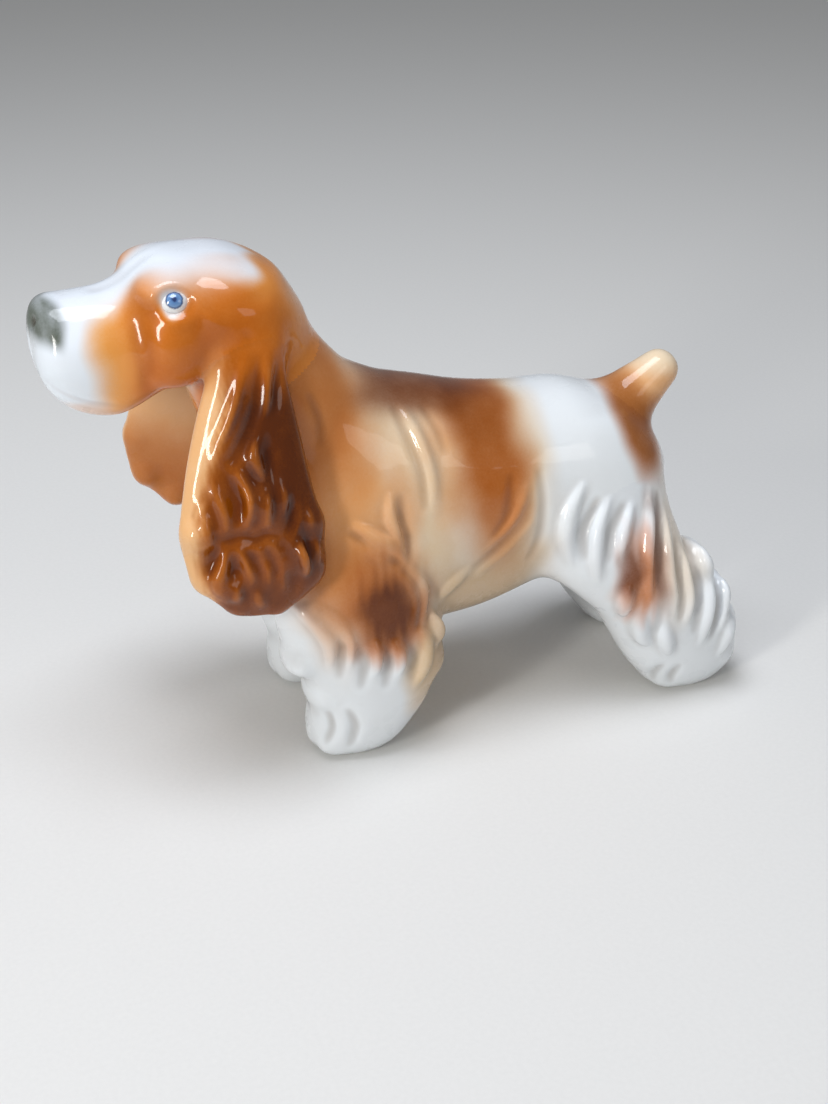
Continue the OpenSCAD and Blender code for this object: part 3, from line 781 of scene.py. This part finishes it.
def glaze(name, white, cream, peach, amber, umber, grey, shadow, gather):
    """Hard-paste porcelain, airbrushed under a clear lead-free glaze.

    The eye sees a cool white body, soft-edged sprays of colour, glaze pooled in the hollows with painted
    shade that darkens them further, and sharp small reflections on a skin as smooth as glass.
    """
    made = bpy.data.materials.new(name)
    made.use_nodes = True
    tree = made.node_tree
    tree.nodes.clear()
    place = node_in(tree, "ShaderNodeTexCoord").outputs["Object"]
    # Airbrush mottling about 5 mm across, and droplets drawn at 0.5 mm so that they show
    mottle = node_in(tree, "ShaderNodeTexNoise", {"noise_dimensions": "3D"}, {"Vector": place})
    mottle.inputs["Scale"].default_value = 1 / (5 * MM)
    mottle.inputs["Detail"].default_value = 4
    mist = node_in(tree, "ShaderNodeTexNoise", {"noise_dimensions": "3D"}, {"Vector": place})
    mist.inputs["Scale"].default_value = 1 / (0.5 * MM)
    mist.inputs["Detail"].default_value = 1
    sway = node_in(tree, "ShaderNodeMapRange", {3: 0.86, 4: 1.14}, {0: mottle.outputs[0]})
    grain = node_in(tree, "ShaderNodeMapRange", {3: 0.93, 4: 1.07}, {0: mist.outputs[0]})
    vary = node_in(tree, "ShaderNodeMath", {"operation": "MULTIPLY"},
                   {0: sway.outputs[0], 1: grain.outputs[0]})
    body = node_in(tree, "ShaderNodeRGB")
    body.outputs[0].default_value = tone(white)
    colour = body.outputs[0]
    for mask, shade in (("cream", cream), ("peach", peach), ("amber", amber), ("umber", umber),
                        ("grey", grey)):
        amount = node_in(tree, "ShaderNodeAttribute", {"attribute_name": mask})
        sprayed = node_in(tree, "ShaderNodeMath", {"operation": "MULTIPLY", "use_clamp": True},
                          {0: amount.outputs["Fac"], 1: vary.outputs[0]})
        mix = node_in(tree, "ShaderNodeMix", {"data_type": "RGBA"},
                      {0: sprayed.outputs[0], 6: colour})
        mix.inputs[7].default_value = tone(shade)
        colour = mix.outputs[2]
    # Hollows and creases are darkened towards the shadow colour: pooled glaze together with painted shade
    glaze_pool_and_shade = node_in(tree, "ShaderNodeAttribute", {"attribute_name": "glaze_pool_and_shade"})
    depth = node_in(tree, "ShaderNodeMath", {"operation": "MULTIPLY", "use_clamp": True, 1: gather},
                    {0: glaze_pool_and_shade.outputs["Fac"]})
    deep = node_in(tree, "ShaderNodeMix", {"data_type": "RGBA", "blend_type": "MULTIPLY"},
                   {0: depth.outputs[0], 6: colour})
    deep.inputs[7].default_value = tone(shadow)
    # The glaze's ripple, about 3 mm from crest to crest and a hundredth of a millimetre high
    ripple = node_in(tree, "ShaderNodeTexNoise", {"noise_dimensions": "3D"}, {"Vector": place})
    ripple.inputs["Scale"].default_value = 1 / (3 * MM)
    ripple.inputs["Detail"].default_value = 0
    bump = node_in(tree, "ShaderNodeBump", links={"Height": ripple.outputs[0]})
    bump.inputs["Strength"].default_value = 0.4
    bump.inputs["Distance"].default_value = 0.04 * MM
    shine = node_in(tree, "ShaderNodeMapRange", {3: 0.22, 4: 0.34}, {0: mottle.outputs[0]})
    skin = node_in(tree, "ShaderNodeBsdfPrincipled",
                   links={"Base Color": deep.outputs[2], "Normal": bump.outputs[0],
                          "Coat Normal": bump.outputs[0], "Roughness": shine.outputs[0]})
    skin.inputs["IOR"].default_value = 1.5
    skin.inputs["Specular IOR Level"].default_value = 0.1
    skin.inputs["Coat Weight"].default_value = 0.6
    skin.inputs["Coat Roughness"].default_value = bpy.context.scene.spaniel_glazes.gloss
    skin.inputs["Coat IOR"].default_value = 1.5
    node_in(tree, "ShaderNodeOutputMaterial", links={0: skin.outputs[0]})
    return made


def spray(y, z, at, reach, turn=0.0, soft=1.0):
    """An airbrushed oval in the side view: 1 inside, 0 outside, with a soft edge."""
    angle = math.radians(turn)
    u, v = y - at[0], z - at[1]
    u, v = u * math.cos(angle) + v * math.sin(angle), v * math.cos(angle) - u * math.sin(angle)
    near = np.sqrt((u / reach[0]) ** 2 + (v / reach[1]) ** 2)
    return ramp(near, 1 + soft / 2, 1 - soft / 2)


def ramp(value, start, end):
    """A smooth step from 0 at start to 1 at end."""
    t = np.clip((value - start) / (end - start), 0, 1)
    return t * t * (3 - 2 * t)


def wander(points, size, seed, stretch=(1, 1, 1)):
    """Smooth waves about size millimetres across, from -1 to 1, the same on every run."""
    dice = np.random.default_rng(seed)
    total = np.zeros(len(points))
    for _ in range(9):
        way = dice.normal(size=3)
        way *= dice.uniform(0.6, 1.5) / np.linalg.norm(way) / np.array(stretch)
        total += np.sin(points @ way * 2 * math.pi / size + dice.uniform(0, 2 * math.pi))
    return np.clip(total / 4, -1, 1)


def over(*masks):
    """Several sprays, one over another."""
    clear = 1
    for mask in masks:
        clear = clear * (1 - np.clip(mask, 0, 1))
    return 1 - clear


# Each spray in the side view: its middle (y, z), its half length and half height, turn and softness
SPRAYS = {
    "lid": ((-49.4, 103.6), (3.3, 3.0), 0, 0.5),
    "temple": ((-40, 102), (8, 5), 0, 1.2),
    "jowl": ((-44, 92), (7, 8), 0, 1.2),
    "muzzle_crease": ((-55.5, 96), (2, 9), 0, 1.2),
    "neck": ((-28, 84), (13, 22), 25, 0.7),
    "shoulder": ((-22, 62), (9, 30), 0, 0.9),
    "upper_arm": ((-22, 45), (8, 9), 0, 1.0),
    "ribs": ((-6, 62), (15, 30), 0, 0.8),
    "withers": ((5, 66), (5, 15), 0, 1.2),
    "saddle": ((13.5, 67), (7.5, 20), 3, 1.2),
    "spine": ((7, 79), (21, 6), 4, 1.0),
    "loin": ((17, 60), (9, 26), 0, 1.0),
    "flank": ((17, 52), (6, 14), 0, 1.0),
    "rump": ((51, 63), (5.5, 9), 20, 1.0),
    "stifle": ((56, 38), (6, 14), 0, 1.2),
    "thigh_groove": ((51.5, 38), (1.8, 12), 5, 1.1),
    # The back of the foreleg: its cream is partly its own tint and partly painted shade, its umber is
    # painted shade
    "foreleg_back": ((-3, 22), (4.5, 12), 0, 1.2),
}
# The sprays whose upper and lower edges are drawn out along the hair
BRUSHED = {
    "elbow": ((-11.5, 37), (6.6, 6.8), 15, 1.0),
    "elbow_edge": ((-12, 38), (9, 11), 15, 1.1),
    "hock": ((43, 35.5), (2.8, 4.4), 0, 1.2),
    "hock_edge": ((46.5, 33.5), (5.5, 8.5), 0, 1.3),
}
# How strongly each colour is sprayed at each place
COATS = {
    "cream": {"ribs": 0.85, "belly": 0.9, "shoulder": 0.8, "loin": 0.9, "tail": 0.7, "face": 1, "neck": 1,
              "throat": 1, "foreleg_back": 0.9, "stifle": 0.5},
    "peach": {"shoulder": 0.8, "neck": 0.95, "face": 1, "throat": 0.95, "saddle": 0.9, "tail_low": 0.75,
              "withers": 0.6, "arm": 0.7, "elbow_edge": 1, "hock_edge": 0.8, "rump": 1, "flank": 0.5},
    "amber": {"cheek": 0.88, "neck": 0.6, "throat": 0.6, "saddle": 0.85, "spine": 0.7, "tail_root": 0.35,
              "elbow_edge": 0.75, "hock_edge": 0.45, "rump": 0.6, "upper_arm": 0.4},
    # The umber on the belly is painted shade under the trunk; on the back of the foreleg it is painted
    # shade too
    "umber": {"spine": 0.8, "belly": 0.28, "saddle_top": 0.4, "elbow": 0.95, "hock": 0.85,
              "thigh_groove": 0.55, "rump": 0.45, "foreleg_back": 0.15, "temple": 0.3, "jowl": 0.35,
              "muzzle_crease": 0.35},
}


def paint_body(points):
    """How much of each colour is sprayed on the trunk, head, legs and tail."""
    points = np.abs(points * [1, 0, 0]) + points * [0, 1, 1]
    hair = wander(points, 2.4, 3, (2, 1, 3))
    x, y, z = points.T
    y = y + 1.3 * wander(points, 14, 1)
    z = z + 1.3 * wander(points, 14, 2)
    at = {place: spray(y, z, *shape) for place, shape in SPRAYS.items()}
    at.update({place: spray(y, z + 0.9 * hair, *shape) for place, shape in BRUSHED.items()})
    # The face is sprayed from the cheek up to a soft edge over the brow, and bare round the eye
    brow = ramp(y, -60, -54)
    below_cap = ramp(z, 104.6 + 6.6 * brow, 99.6 + 2 * brow) * ramp(x, 3, 11 - 3 * brow)
    skull = over(below_cap * ramp(y, -30, -38), ramp(z, 108.4, 105) * ramp(y, -46, -36))
    face = ramp(y, -67, -60) * ramp(y, -24, -30) * skull * ramp(z, 74, 79) * (1 - 0.9 * at["lid"])
    for place in ("temple", "jowl", "muzzle_crease"):
        at[place] = at[place] * face
    tail = ramp(y, 46, 52) * ramp(z, 60, 66)
    at.update({
        "face": face,
        "cheek": face * ramp(y, -62.5, -54) * (1 - 0.5 * ramp(y, -37, -31)),
        "neck": at["neck"] * ramp(z, 106, 101),
        "throat": ramp(y, -29, -36) * ramp(z, 56, 64) * ramp(z, 84, 78),
        "arm": ramp(z, 36, 46) * ramp(y, -34, -30) * ramp(y, 0, -8) * ramp(z, 75, 60),
        "elbow_edge": at["elbow_edge"] * ramp(y, -28, -20),
        "spine": at["spine"] * ramp(x, 17, 9),
        "saddle_top": at["saddle"] * ramp(z, 58, 72),
        # The belly mask grows towards the bottom; the umber sprayed with it is painted shade under the
        # trunk
        "belly": ramp(z, 52, 36) * ramp(y, 32, 18) * ramp(y, -6, 4),
        "tail": tail,
        "tail_low": tail * ramp(z, 76, 70),
        "tail_root": tail * ramp(z, 70, 64),
    })
    masks = {colour: over(*(strength * at[place] for place, strength in coat.items()))
             for colour, coat in COATS.items()}
    masks["grey"] = ramp(y, -68.5, -72) * ramp(z, 94, 98) * ramp(z, 106, 102.5) * (0.9 + 0.1 * hair)
    return masks


def paint_ear(points, inward, crest):
    """How much of each colour is sprayed on an ear; inward is 1 on its inner face."""
    hair = wander(points, 1.2, 5, (1, 1, 5))
    y, z = points[:, 1], points[:, 2]
    edge = EAR_LOW[1] + 8.5 * ramp(z, 60, 90) + 2.5 * ramp(z, 54, 46)
    rim = ramp(y - edge + 0.4 * hair, 5.6, 1.4)
    deep = over(spray(y, z, (-34, 77), (6, 17), 8, 0.9), 0.8 * spray(y, z, (-29, 58), (4, 11), 0, 1.0),
                0.5 * spray(y, z, (-40, 46), (9, 5), 0, 1.0))
    # Crests of the locks are painted lighter: a painted highlight along the ridges
    outer, lit = 1 - inward, 0.55 * crest
    low, root = ramp(z + 0.5 * y, 50, 30), ramp(z, 97, 82)
    dark = (0.66 + 0.34 * deep) * (1 - rim) * (1 - lit)
    return {
        "cream": np.ones_like(y),
        "peach": outer * (1 - 0.5 * rim) + inward * (0.4 + 0.5 * low),
        "amber": np.clip((1 - 0.9 * rim) * (1 - 0.5 * lit) * outer + inward * (0.05 + 0.6 * low), 0, 1),
        "umber": np.clip(dark * outer + 0.25 * inward * low, 0, 1) * root,
        "grey": 0 * y,
    }


# Each glaze: its name, its white, cream, peach, amber, umber and grey, and the painted shade colour
# that darkens the hollows along with pooled glaze, with how strongly it does
GLAZES = {
    "trunk_glaze": ("Airbrushed porcelain glaze, trunk", "E9EDEF", "E2C69E", "DC9A5E", "A9560E",
                    "5E2A02", "8A8F88", "8C6C4C", 0.7),
    "face_glaze": ("Airbrushed porcelain glaze, face", "E6EDF5", "E6CBA0", "EAA050", "C4660C",
                   "8A3E02", "5C6258", "8E5A2C", 0.5),
    "ear_glaze": ("Caramel porcelain glaze, ears", "E9EDEF", "E6CBA0", "EAA258", "C0640C",
                  "5A2600", "8A8F88", "7E4418", 0.7),
    "foreleg_glaze": ("Airbrushed porcelain glaze, forelegs", "E6EAED", "E2C69E", "DC9A5E", "A9560E",
                      "622B00", "8A8F88", "8C7A68", 0.8),
    "hind_leg_glaze": ("Airbrushed porcelain glaze, hind legs", "E6EAED", "E2C69E", "E0945A", "B8641E",
                       "6C3204", "8A8F88", "8C7A68", 0.8),
    "tail_glaze": ("Airbrushed porcelain glaze, tail", "EFEDE8", "EACB9C", "E2A060", "B0601C",
                   "6A3408", "8A8F88", "8C6C4C", 0.4),
}


# ---- Cutting the clay into pieces ----

# For each member and side of the dog (0 where it spans both): the piece, its node and its slot
PIECES = {
    (OWN_TRUNK, 0): ("trunk", "torso", "trunk_glaze"),
    (OWN_HEAD, 0): ("face", "head", "face_glaze"),
    (OWN_FORELEG, 1): ("foreleg_left", "left_foreleg", "foreleg_glaze"),
    (OWN_FORELEG, -1): ("foreleg_right", "right_foreleg", "foreleg_glaze"),
    (OWN_HIND_LEG, 1): ("hind_leg_left", "left_hind_leg", "hind_leg_glaze"),
    (OWN_HIND_LEG, -1): ("hind_leg_right", "right_hind_leg", "hind_leg_glaze"),
    (OWN_TAIL, 0): ("docked_tail", "tail", "tail_glaze"),
    (OWN_EAR, 1): ("ear_left", "left_ear", "ear_glaze"),
    (OWN_EAR, -1): ("ear_right", "right_ear", "ear_glaze"),
}


def both_halves(left, right):
    """One array for the whole dog from its two halves."""
    return np.concatenate([right[:0:-1], left])


def slopes(field, points):
    """The field's gradient at each point."""
    out = np.empty_like(points)
    for a in range(3):
        step = np.zeros(3)
        step[a] = 0.5 * VOXEL
        out[:, a] = field(points + step) - field(points - step)
    return out / VOXEL


def neighbours(quads):
    """Pairs of faces that share an edge."""
    edges = np.sort(np.stack([quads, np.roll(quads, -1, 1)], -1).reshape(-1, 2), 1)
    key = edges[:, 0].astype(np.int64) * (quads.max() + 1) + edges[:, 1]
    order = np.argsort(key, kind="stable")
    same = key[order][1:] == key[order][:-1]
    face = order // 4
    return face[:-1][same], face[1:][same]


def islands(pairs, labels):
    """A number for each connected patch of faces that has one label."""
    a, b = pairs
    keep = labels[a] == labels[b]
    a, b = a[keep], b[keep]
    patch = np.arange(len(labels))
    while True:
        low = np.minimum(patch[a], patch[b])
        new = patch.copy()
        np.minimum.at(new, a, low)
        np.minimum.at(new, b, low)
        new = new[new]
        if (new == patch).all():
            return patch
        patch = new


def tidy_labels(quads, labels, kinds):
    """Smooths the borders between the labels, and leaves one patch for each."""
    a, b = neighbours(quads)
    for _ in range(12):
        votes = np.eye(kinds)[labels] * 1.4
        np.add.at(votes, a, np.eye(kinds)[labels[b]])
        np.add.at(votes, b, np.eye(kinds)[labels[a]])
        labels = votes.argmax(1)
    for _ in range(4):
        patch = islands((a, b), labels)
        size = np.bincount(patch, minlength=len(labels))
        largest = np.array([size[patch[labels == k]].max(initial=0) for k in range(kinds)])
        stray = size[patch] < largest[labels]
        if not stray.any():
            break
        while stray.any():
            near = stray[a] & ~stray[b]
            labels[a[near]] = labels[b[near]]
            back = stray[b] & ~stray[a]
            labels[b[back]] = labels[a[back]]
            freed = np.concatenate([a[near], b[back]])
            if not len(freed):
                break
            stray[freed] = False
    return labels


# How far the border of a cap runs into the clay, in mm, so that no cap shows at a seam
SKIRT = 1.5


def capped(quads, points, normals):
    """Closes each open border of a piece with a skirt that runs inwards and a fan behind it."""
    edges = np.stack([quads, np.roll(quads, -1, 1)], -1).reshape(-1, 2)
    open_to = {}
    known = set(map(tuple, edges.tolist()))
    for a, b in edges.tolist():
        if (b, a) not in known:
            open_to.setdefault(a, []).append(b)
    faces, extra = [], []
    while open_to:
        here = next(iter(open_to))
        loop = []
        while here in open_to:
            following = open_to[here].pop()
            if not open_to[here]:
                del open_to[here]
            loop.append(here)
            here = following
        count, first = len(loop), len(points) + len(extra)
        inner = points[loop] - SKIRT * normals[loop]
        extra += list(inner) + [inner.mean(0)]
        for k in range(count):
            n = (k + 1) % count
            faces += [(loop[n], loop[k], first + k, first + n), (first + n, first + k, first + count)]
    return faces, extra


class SPANIEL_OT_cast(bpy.types.Operator):
    """Cut the clay into its pieces and glaze them"""

    bl_idname = "spaniel.cast"
    bl_label = "Cast and glaze"

    def execute(self, context):
        whole = both_halves(clay["left"], clay["right"])
        low = np.array([-(SHAPE[0] - 1) * VOXEL, GRID_LOW[1], GRID_LOW[2]])
        points, quads = surface_mesh(whole, low)
        quads = quads.astype(np.int64)

        def field(at):
            side = at[:, 0] >= 0
            return np.where(side, sample(clay["left"], at), sample(clay["right"], at))

        for _ in range(2):
            slope = slopes(field, points)
            steep = (slope ** 2).sum(1)
            points = points - (field(points) / np.maximum(steep, 0.05))[:, None] * slope
        points[:, 2] = np.maximum(points[:, 2], 0)
        a, b, c, d = (points[quads[:, k]] for k in range(4))
        if (np.cross(c - a, d - b) * a).sum() < 0:
            quads = quads[:, ::-1]
        slope = slopes(field, points)
        normals = slope / np.maximum(np.linalg.norm(slope, axis=1), 1e-9)[:, None]
        bend = self.bend(points, field)
        # Crests get a painted highlight in the ears' colours; creases get painted shade along with pooled
        # glaze
        masks = self.paint(points, normals, np.clip(1.1 * bend - 0.25, 0, 1))
        masks["glaze_pool_and_shade"] = np.clip(-1.1 * bend - 0.08, 0, 1)

        middle = points[quads].mean(1)
        spot = np.clip(((np.abs(middle * [1, 0, 0]) + middle * [0, 1, 1] - GRID_LOW) / VOXEL).round()
                       .astype(int), 0, np.array(SHAPE) - 1)
        left = middle[:, 0] >= 0
        at = tuple(spot.T)
        owner = np.where(left, clay["left_owner"][at], clay["right_owner"][at])
        paired = np.isin(owner, (OWN_FORELEG, OWN_HIND_LEG, OWN_EAR))
        side = np.where(paired, np.where(left, 1, -1), 0)
        names = list(PIECES)
        table = {key: k for k, key in enumerate(names)}
        labels = np.array([table[(o, s)] for o, s in zip(owner.tolist(), side.tolist())])
        labels = tidy_labels(quads, labels, len(names))

        finishes = {slot: glaze(*recipe) for slot, recipe in GLAZES.items()}
        for k, (name, node, slot) in enumerate(PIECES.values()):
            self.piece(name, node, slot, quads[labels == k], points, normals, masks, finishes[slot])
        return {"FINISHED"}

    def bend(self, points, field):
        """How the surface bends at each point: above zero on a crest, below it in a crease."""
        step = 0.9
        total = -6 * field(points)
        for a in range(3):
            for way in (-step, step):
                move = np.zeros(3)
                move[a] = way
                total += field(points + move)
        return total / step ** 2

    def paint(self, points, normals, crest):
        """The glaze's masks, with each ear's colours fading into the body's at its root."""
        on_left = points[:, 0] >= 0
        ear = np.where(on_left, sample(clay["left_ear"], points), sample(clay["right_ear"], points))
        body = sample(clay["body"], points)
        blend = 0.6 + 4 * ramp(points[:, 2], 82, 94)
        share = ramp(ear - body, blend, -blend)
        outward = normals[:, 0] * np.sign(points[:, 0])
        inward = ramp(outward, 0.0, -0.5)
        of_ear, of_body = paint_ear(points, inward, crest), paint_body(points)
        return {name: share * of_ear[name] + (1 - share) * of_body[name] for name in of_body}

    def piece(self, name, node, slot, quads, points, normals, masks, finish):
        """Makes one closed piece of the figurine from its quads."""
        used, quads = np.unique(quads, return_inverse=True)
        quads = quads.reshape(-1, 4)
        spots = points[used]
        fans, inner = capped(quads, spots, normals[used])
        inner = np.reshape(inner, (-1, 3))
        every = np.vstack([spots, inner])
        mesh = bpy.data.meshes.new(name)
        mesh.from_pydata((every * MM).tolist(), [], quads.tolist() + fans)
        mesh.polygons.foreach_set("use_smooth", np.ones(len(mesh.polygons), bool))
        extra = np.zeros(len(inner))
        for mask, values in masks.items():
            layer = mesh.attributes.new(mask, "FLOAT", "POINT")
            layer.data.foreach_set("value", np.concatenate([values[used], extra]).astype(np.float32))
        ways = np.vstack([normals[used], np.tile([0.0, 0.0, 1.0], (len(inner), 1))])
        mesh.normals_split_custom_set_from_vertices(ways.tolist())
        mesh.materials.append(finish)
        made = bpy.data.objects.new(name, mesh)
        bpy.context.scene.collection.objects.link(made)
        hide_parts(node)
        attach(made, "root")


# ---- Eyes ----

# Which way the left eye looks, how deep it sits and its radii outwards, along the lid and across it
GAZE = (0.82, -0.14, 0.55)
EYE_SINK, EYE_RADII = 1.3, (2.6, 2.9, 2.4)
EYE_ROWS, EYE_TURNS = 24, 48


class SPANIEL_OT_eyes(bpy.types.Operator):
    """Set a domed enamel eye in each socket"""

    bl_idname = "spaniel.eyes"
    bl_label = "Eyes"

    def execute(self, context):
        finish = self.enamel(context.scene.spaniel_sizes.iris, context.scene.spaniel_glazes.enamel)
        for side, name, node in ((1, "eye_left", "left_eye"), (-1, "eye_right", "right_eye")):
            low, high = box_mm(node)
            out = np.array([side * GAZE[0], GAZE[1], GAZE[2]])
            out = out / np.linalg.norm(out)
            ahead = np.array([0, 1.0, 0])
            ahead = ahead - (ahead @ out) * out
            ahead = ahead / np.linalg.norm(ahead)
            up = np.cross(ahead, out) * side
            centre = (low + high) / 2 - EYE_SINK * out + np.array([0, 0.4, -0.2])
            spots = []
            for i in range(EYE_ROWS + 1):
                tip = math.pi * i / EYE_ROWS
                for k in range(EYE_TURNS):
                    turn = 2 * math.pi * k / EYE_TURNS
                    spots.append(centre + out * EYE_RADII[0] * math.cos(tip)
                                 + ahead * EYE_RADII[1] * math.sin(tip) * math.cos(turn)
                                 + up * EYE_RADII[2] * math.sin(tip) * math.sin(turn))
            faces = []
            for i in range(EYE_ROWS):
                for k in range(EYE_TURNS):
                    a, b = i * EYE_TURNS + k, i * EYE_TURNS + (k + 1) % EYE_TURNS
                    faces.append((a, b, b + EYE_TURNS, a + EYE_TURNS))
            mesh = bpy.data.meshes.new(name)
            mesh.from_pydata([tuple(p * MM) for p in spots], [], faces)
            made = bpy.data.objects.new(name, mesh)
            self.weld(mesh)
            reach = np.linalg.norm(np.cross(self.spots(mesh) / MM - centre, out), axis=1)
            layer = mesh.attributes.new("reach", "FLOAT", "POINT")
            layer.data.foreach_set("value", reach.astype(np.float32))
            mesh.polygons.foreach_set("use_smooth", np.ones(len(mesh.polygons), bool))
            mesh.materials.append(finish)
            bpy.context.scene.collection.objects.link(made)
            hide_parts(node)
            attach(made, "root")
        return {"FINISHED"}

    def spots(self, mesh):
        """A mesh's points as an array."""
        out = np.empty(len(mesh.vertices) * 3, np.float32)
        mesh.vertices.foreach_get("co", out)
        return out.reshape(-1, 3).astype(float)

    def weld(self, mesh):
        """Closes the poles and turns every face outwards."""
        work = bmesh.new()
        work.from_mesh(mesh)
        bmesh.ops.remove_doubles(work, verts=work.verts, dist=1e-7)
        bmesh.ops.recalc_face_normals(work, faces=work.faces)
        work.to_mesh(mesh)
        work.free()

    def enamel(self, iris, blue):
        """Overglaze enamel fired on white: a dark pupil in a glassy blue ring with a brushed edge."""
        made = bpy.data.materials.new("Overglaze enamel, eyes")
        made.use_nodes = True
        tree = made.node_tree
        tree.nodes.clear()
        place = node_in(tree, "ShaderNodeTexCoord").outputs["Object"]
        streak = node_in(tree, "ShaderNodeTexNoise", links={"Vector": place})
        streak.inputs["Scale"].default_value = 1 / (0.6 * MM)
        reach = node_in(tree, "ShaderNodeAttribute", {"attribute_name": "reach"})
        wobble = node_in(tree, "ShaderNodeMath", {"operation": "MULTIPLY_ADD", 1: 0.35},
                         {0: streak.outputs[0], 2: reach.outputs["Fac"]})
        # The ramp's middle lies at the edge of the iris
        scaled = node_in(tree, "ShaderNodeMath", {"operation": "MULTIPLY", 1: 0.5 * MM / iris},
                         {0: wobble.outputs[0]})
        rings = node_in(tree, "ShaderNodeValToRGB", links={0: scaled.outputs[0]})
        steps = rings.color_ramp.elements
        steps[0].position, steps[0].color = 0.0, tone("1E3260")
        steps[1].position, steps[1].color = 1.0, tone("EAEDEF")
        for reach_at, colour in ((0.14, tone("24386A")), (0.24, list(blue) + [1]), (0.42, tone("6C93C2")),
                                 (0.5, tone("2E4878")), (0.57, tone("EAEDEF"))):
            steps.new(reach_at).color = colour
        skin = node_in(tree, "ShaderNodeBsdfPrincipled", links={"Base Color": rings.outputs[0]})
        skin.inputs["Roughness"].default_value = 0.15
        skin.inputs["IOR"].default_value = 1.5
        skin.inputs["Coat Weight"].default_value = 1
        skin.inputs["Coat Roughness"].default_value = 0.02
        node_in(tree, "ShaderNodeOutputMaterial", links={0: skin.outputs[0]})
        return made


# ---- Stage ----

# The camera's angles in degrees, its distance in metres, its lens in mm and the point that it looks at
AZIMUTH, ELEVATION, DISTANCE, LENS = 70, 28, 0.3604, 53.2
SEEN = Vector((0, 0.0028, 0.0354))
# The point that the lamps face, and each lamp's place and size in metres, share of the power and tint
LIT = SEEN + Vector((0, 0, 0.02))
LAMPS = {
    "window": ((0.42, -0.62, 0.3), (0.1, 0.3), 0.75, "FFFDF8"),
    "top": ((0.05, -0.1, 0.7), (0.35, 0.35), 1.0, "F1F6FF"),
    "fill": ((0.7, 0.35, 0.45), (0.25, 0.25), 0.12, "FFF8F0"),
}
FLOOR_HALF = 3


class SPANIEL_OT_stage(bpy.types.Operator):
    """Lay the pale floor, light it softly and set the camera"""

    bl_idname = "spaniel.stage"
    bl_label = "Stage"

    def execute(self, context):
        scene = context.scene
        corners = [(x * FLOOR_HALF, y * FLOOR_HALF, 0) for x, y in ((-1, -1), (1, -1), (1, 1), (-1, 1))]
        floor = plain_object("floor", corners, faces=[(0, 1, 2, 3)])
        floor.data.materials.append(self.paper())
        world = bpy.data.worlds.new("Studio")
        world.use_nodes = True
        world.node_tree.nodes["Background"].inputs[0].default_value = tone("F2F4F7")
        world.node_tree.nodes["Background"].inputs[1].default_value = 0.25
        scene.world = world
        scene.view_settings.view_transform = "Standard"
        power = scene.spaniel_glazes.key
        for name, (place, size, share, shade) in LAMPS.items():
            data = bpy.data.lights.new(name, "AREA")
            data.shape = "RECTANGLE"
            data.size, data.size_y = size
            data.energy = share * power
            data.color = tone(shade)[:3]
            self.aimed(bpy.data.objects.new(name, data), Vector(place), LIT)
        azimuth, elevation = math.radians(AZIMUTH), math.radians(ELEVATION)
        back = Vector((math.sin(azimuth) * math.cos(elevation), -math.cos(azimuth) * math.cos(elevation),
                       math.sin(elevation)))
        data = bpy.data.cameras.new("camera")
        data.lens = LENS
        data.clip_start = 0.01
        camera = bpy.data.objects.new("camera", data)
        self.aimed(camera, SEEN + back * DISTANCE, SEEN)
        scene.camera = camera
        return {"FINISHED"}

    def aimed(self, made, place, target):
        """Puts a lamp or the camera at a place, looking at a target."""
        made.location = place
        made.rotation_mode = "QUATERNION"
        made.rotation_quaternion = (target - place).to_track_quat("-Z", "Y")
        bpy.context.scene.collection.objects.link(made)

    def paper(self):
        """Matt seamless backdrop paper, pale, with a faint tooth about 1 mm across."""
        made = bpy.data.materials.new("Seamless backdrop paper")
        made.use_nodes = True
        tree = made.node_tree
        skin = tree.nodes["Principled BSDF"]
        place = node_in(tree, "ShaderNodeTexCoord").outputs["Object"]
        tooth = node_in(tree, "ShaderNodeTexNoise", links={"Vector": place})
        tooth.inputs["Scale"].default_value = 1 / MM
        shade = node_in(tree, "ShaderNodeMix", {"data_type": "RGBA"}, {0: tooth.outputs[0]})
        shade.inputs[6].default_value = tone("E4E3E0")
        shade.inputs[7].default_value = tone("EAE9E6")
        tree.links.new(shade.outputs[2], skin.inputs["Base Color"])
        skin.inputs["Roughness"].default_value = 0.85
        return made


class SPANIEL_PT_panel(bpy.types.Panel):
    """Lists the figurine's steps, sizes and glaze settings."""

    bl_idname = "SPANIEL_PT_panel"
    bl_label = "Glazed spaniel"
    bl_space_type = "VIEW_3D"
    bl_region_type = "UI"
    bl_category = "Figurine"

    def draw(self, context):
        for settings in (context.scene.spaniel_sizes, context.scene.spaniel_glazes):
            for name in settings.__annotations__:
                self.layout.prop(settings, name)
        for step in STEPS_IN_ORDER:
            self.layout.operator(step.bl_idname)


STEPS_IN_ORDER = (SPANIEL_OT_trunk, SPANIEL_OT_legs, SPANIEL_OT_tail, SPANIEL_OT_face, SPANIEL_OT_coat,
                  SPANIEL_OT_ears, SPANIEL_OT_cast, SPANIEL_OT_eyes, SPANIEL_OT_stage)
CLASSES = (SpanielSizes, SpanielGlazes) + STEPS_IN_ORDER + (SPANIEL_PT_panel,)


def register():
    for kind in CLASSES:
        bpy.utils.register_class(kind)
    bpy.types.Scene.spaniel_sizes = bpy.props.PointerProperty(type=SpanielSizes)
    bpy.types.Scene.spaniel_glazes = bpy.props.PointerProperty(type=SpanielGlazes)


def unregister():
    del bpy.types.Scene.spaniel_glazes
    del bpy.types.Scene.spaniel_sizes
    for kind in reversed(CLASSES):
        bpy.utils.unregister_class(kind)


def main():
    register()
    for step in STEPS_IN_ORDER:
        group, name = step.bl_idname.split(".")
        getattr(getattr(bpy.ops, group), name)()


if __name__ == "__main__":
    main()
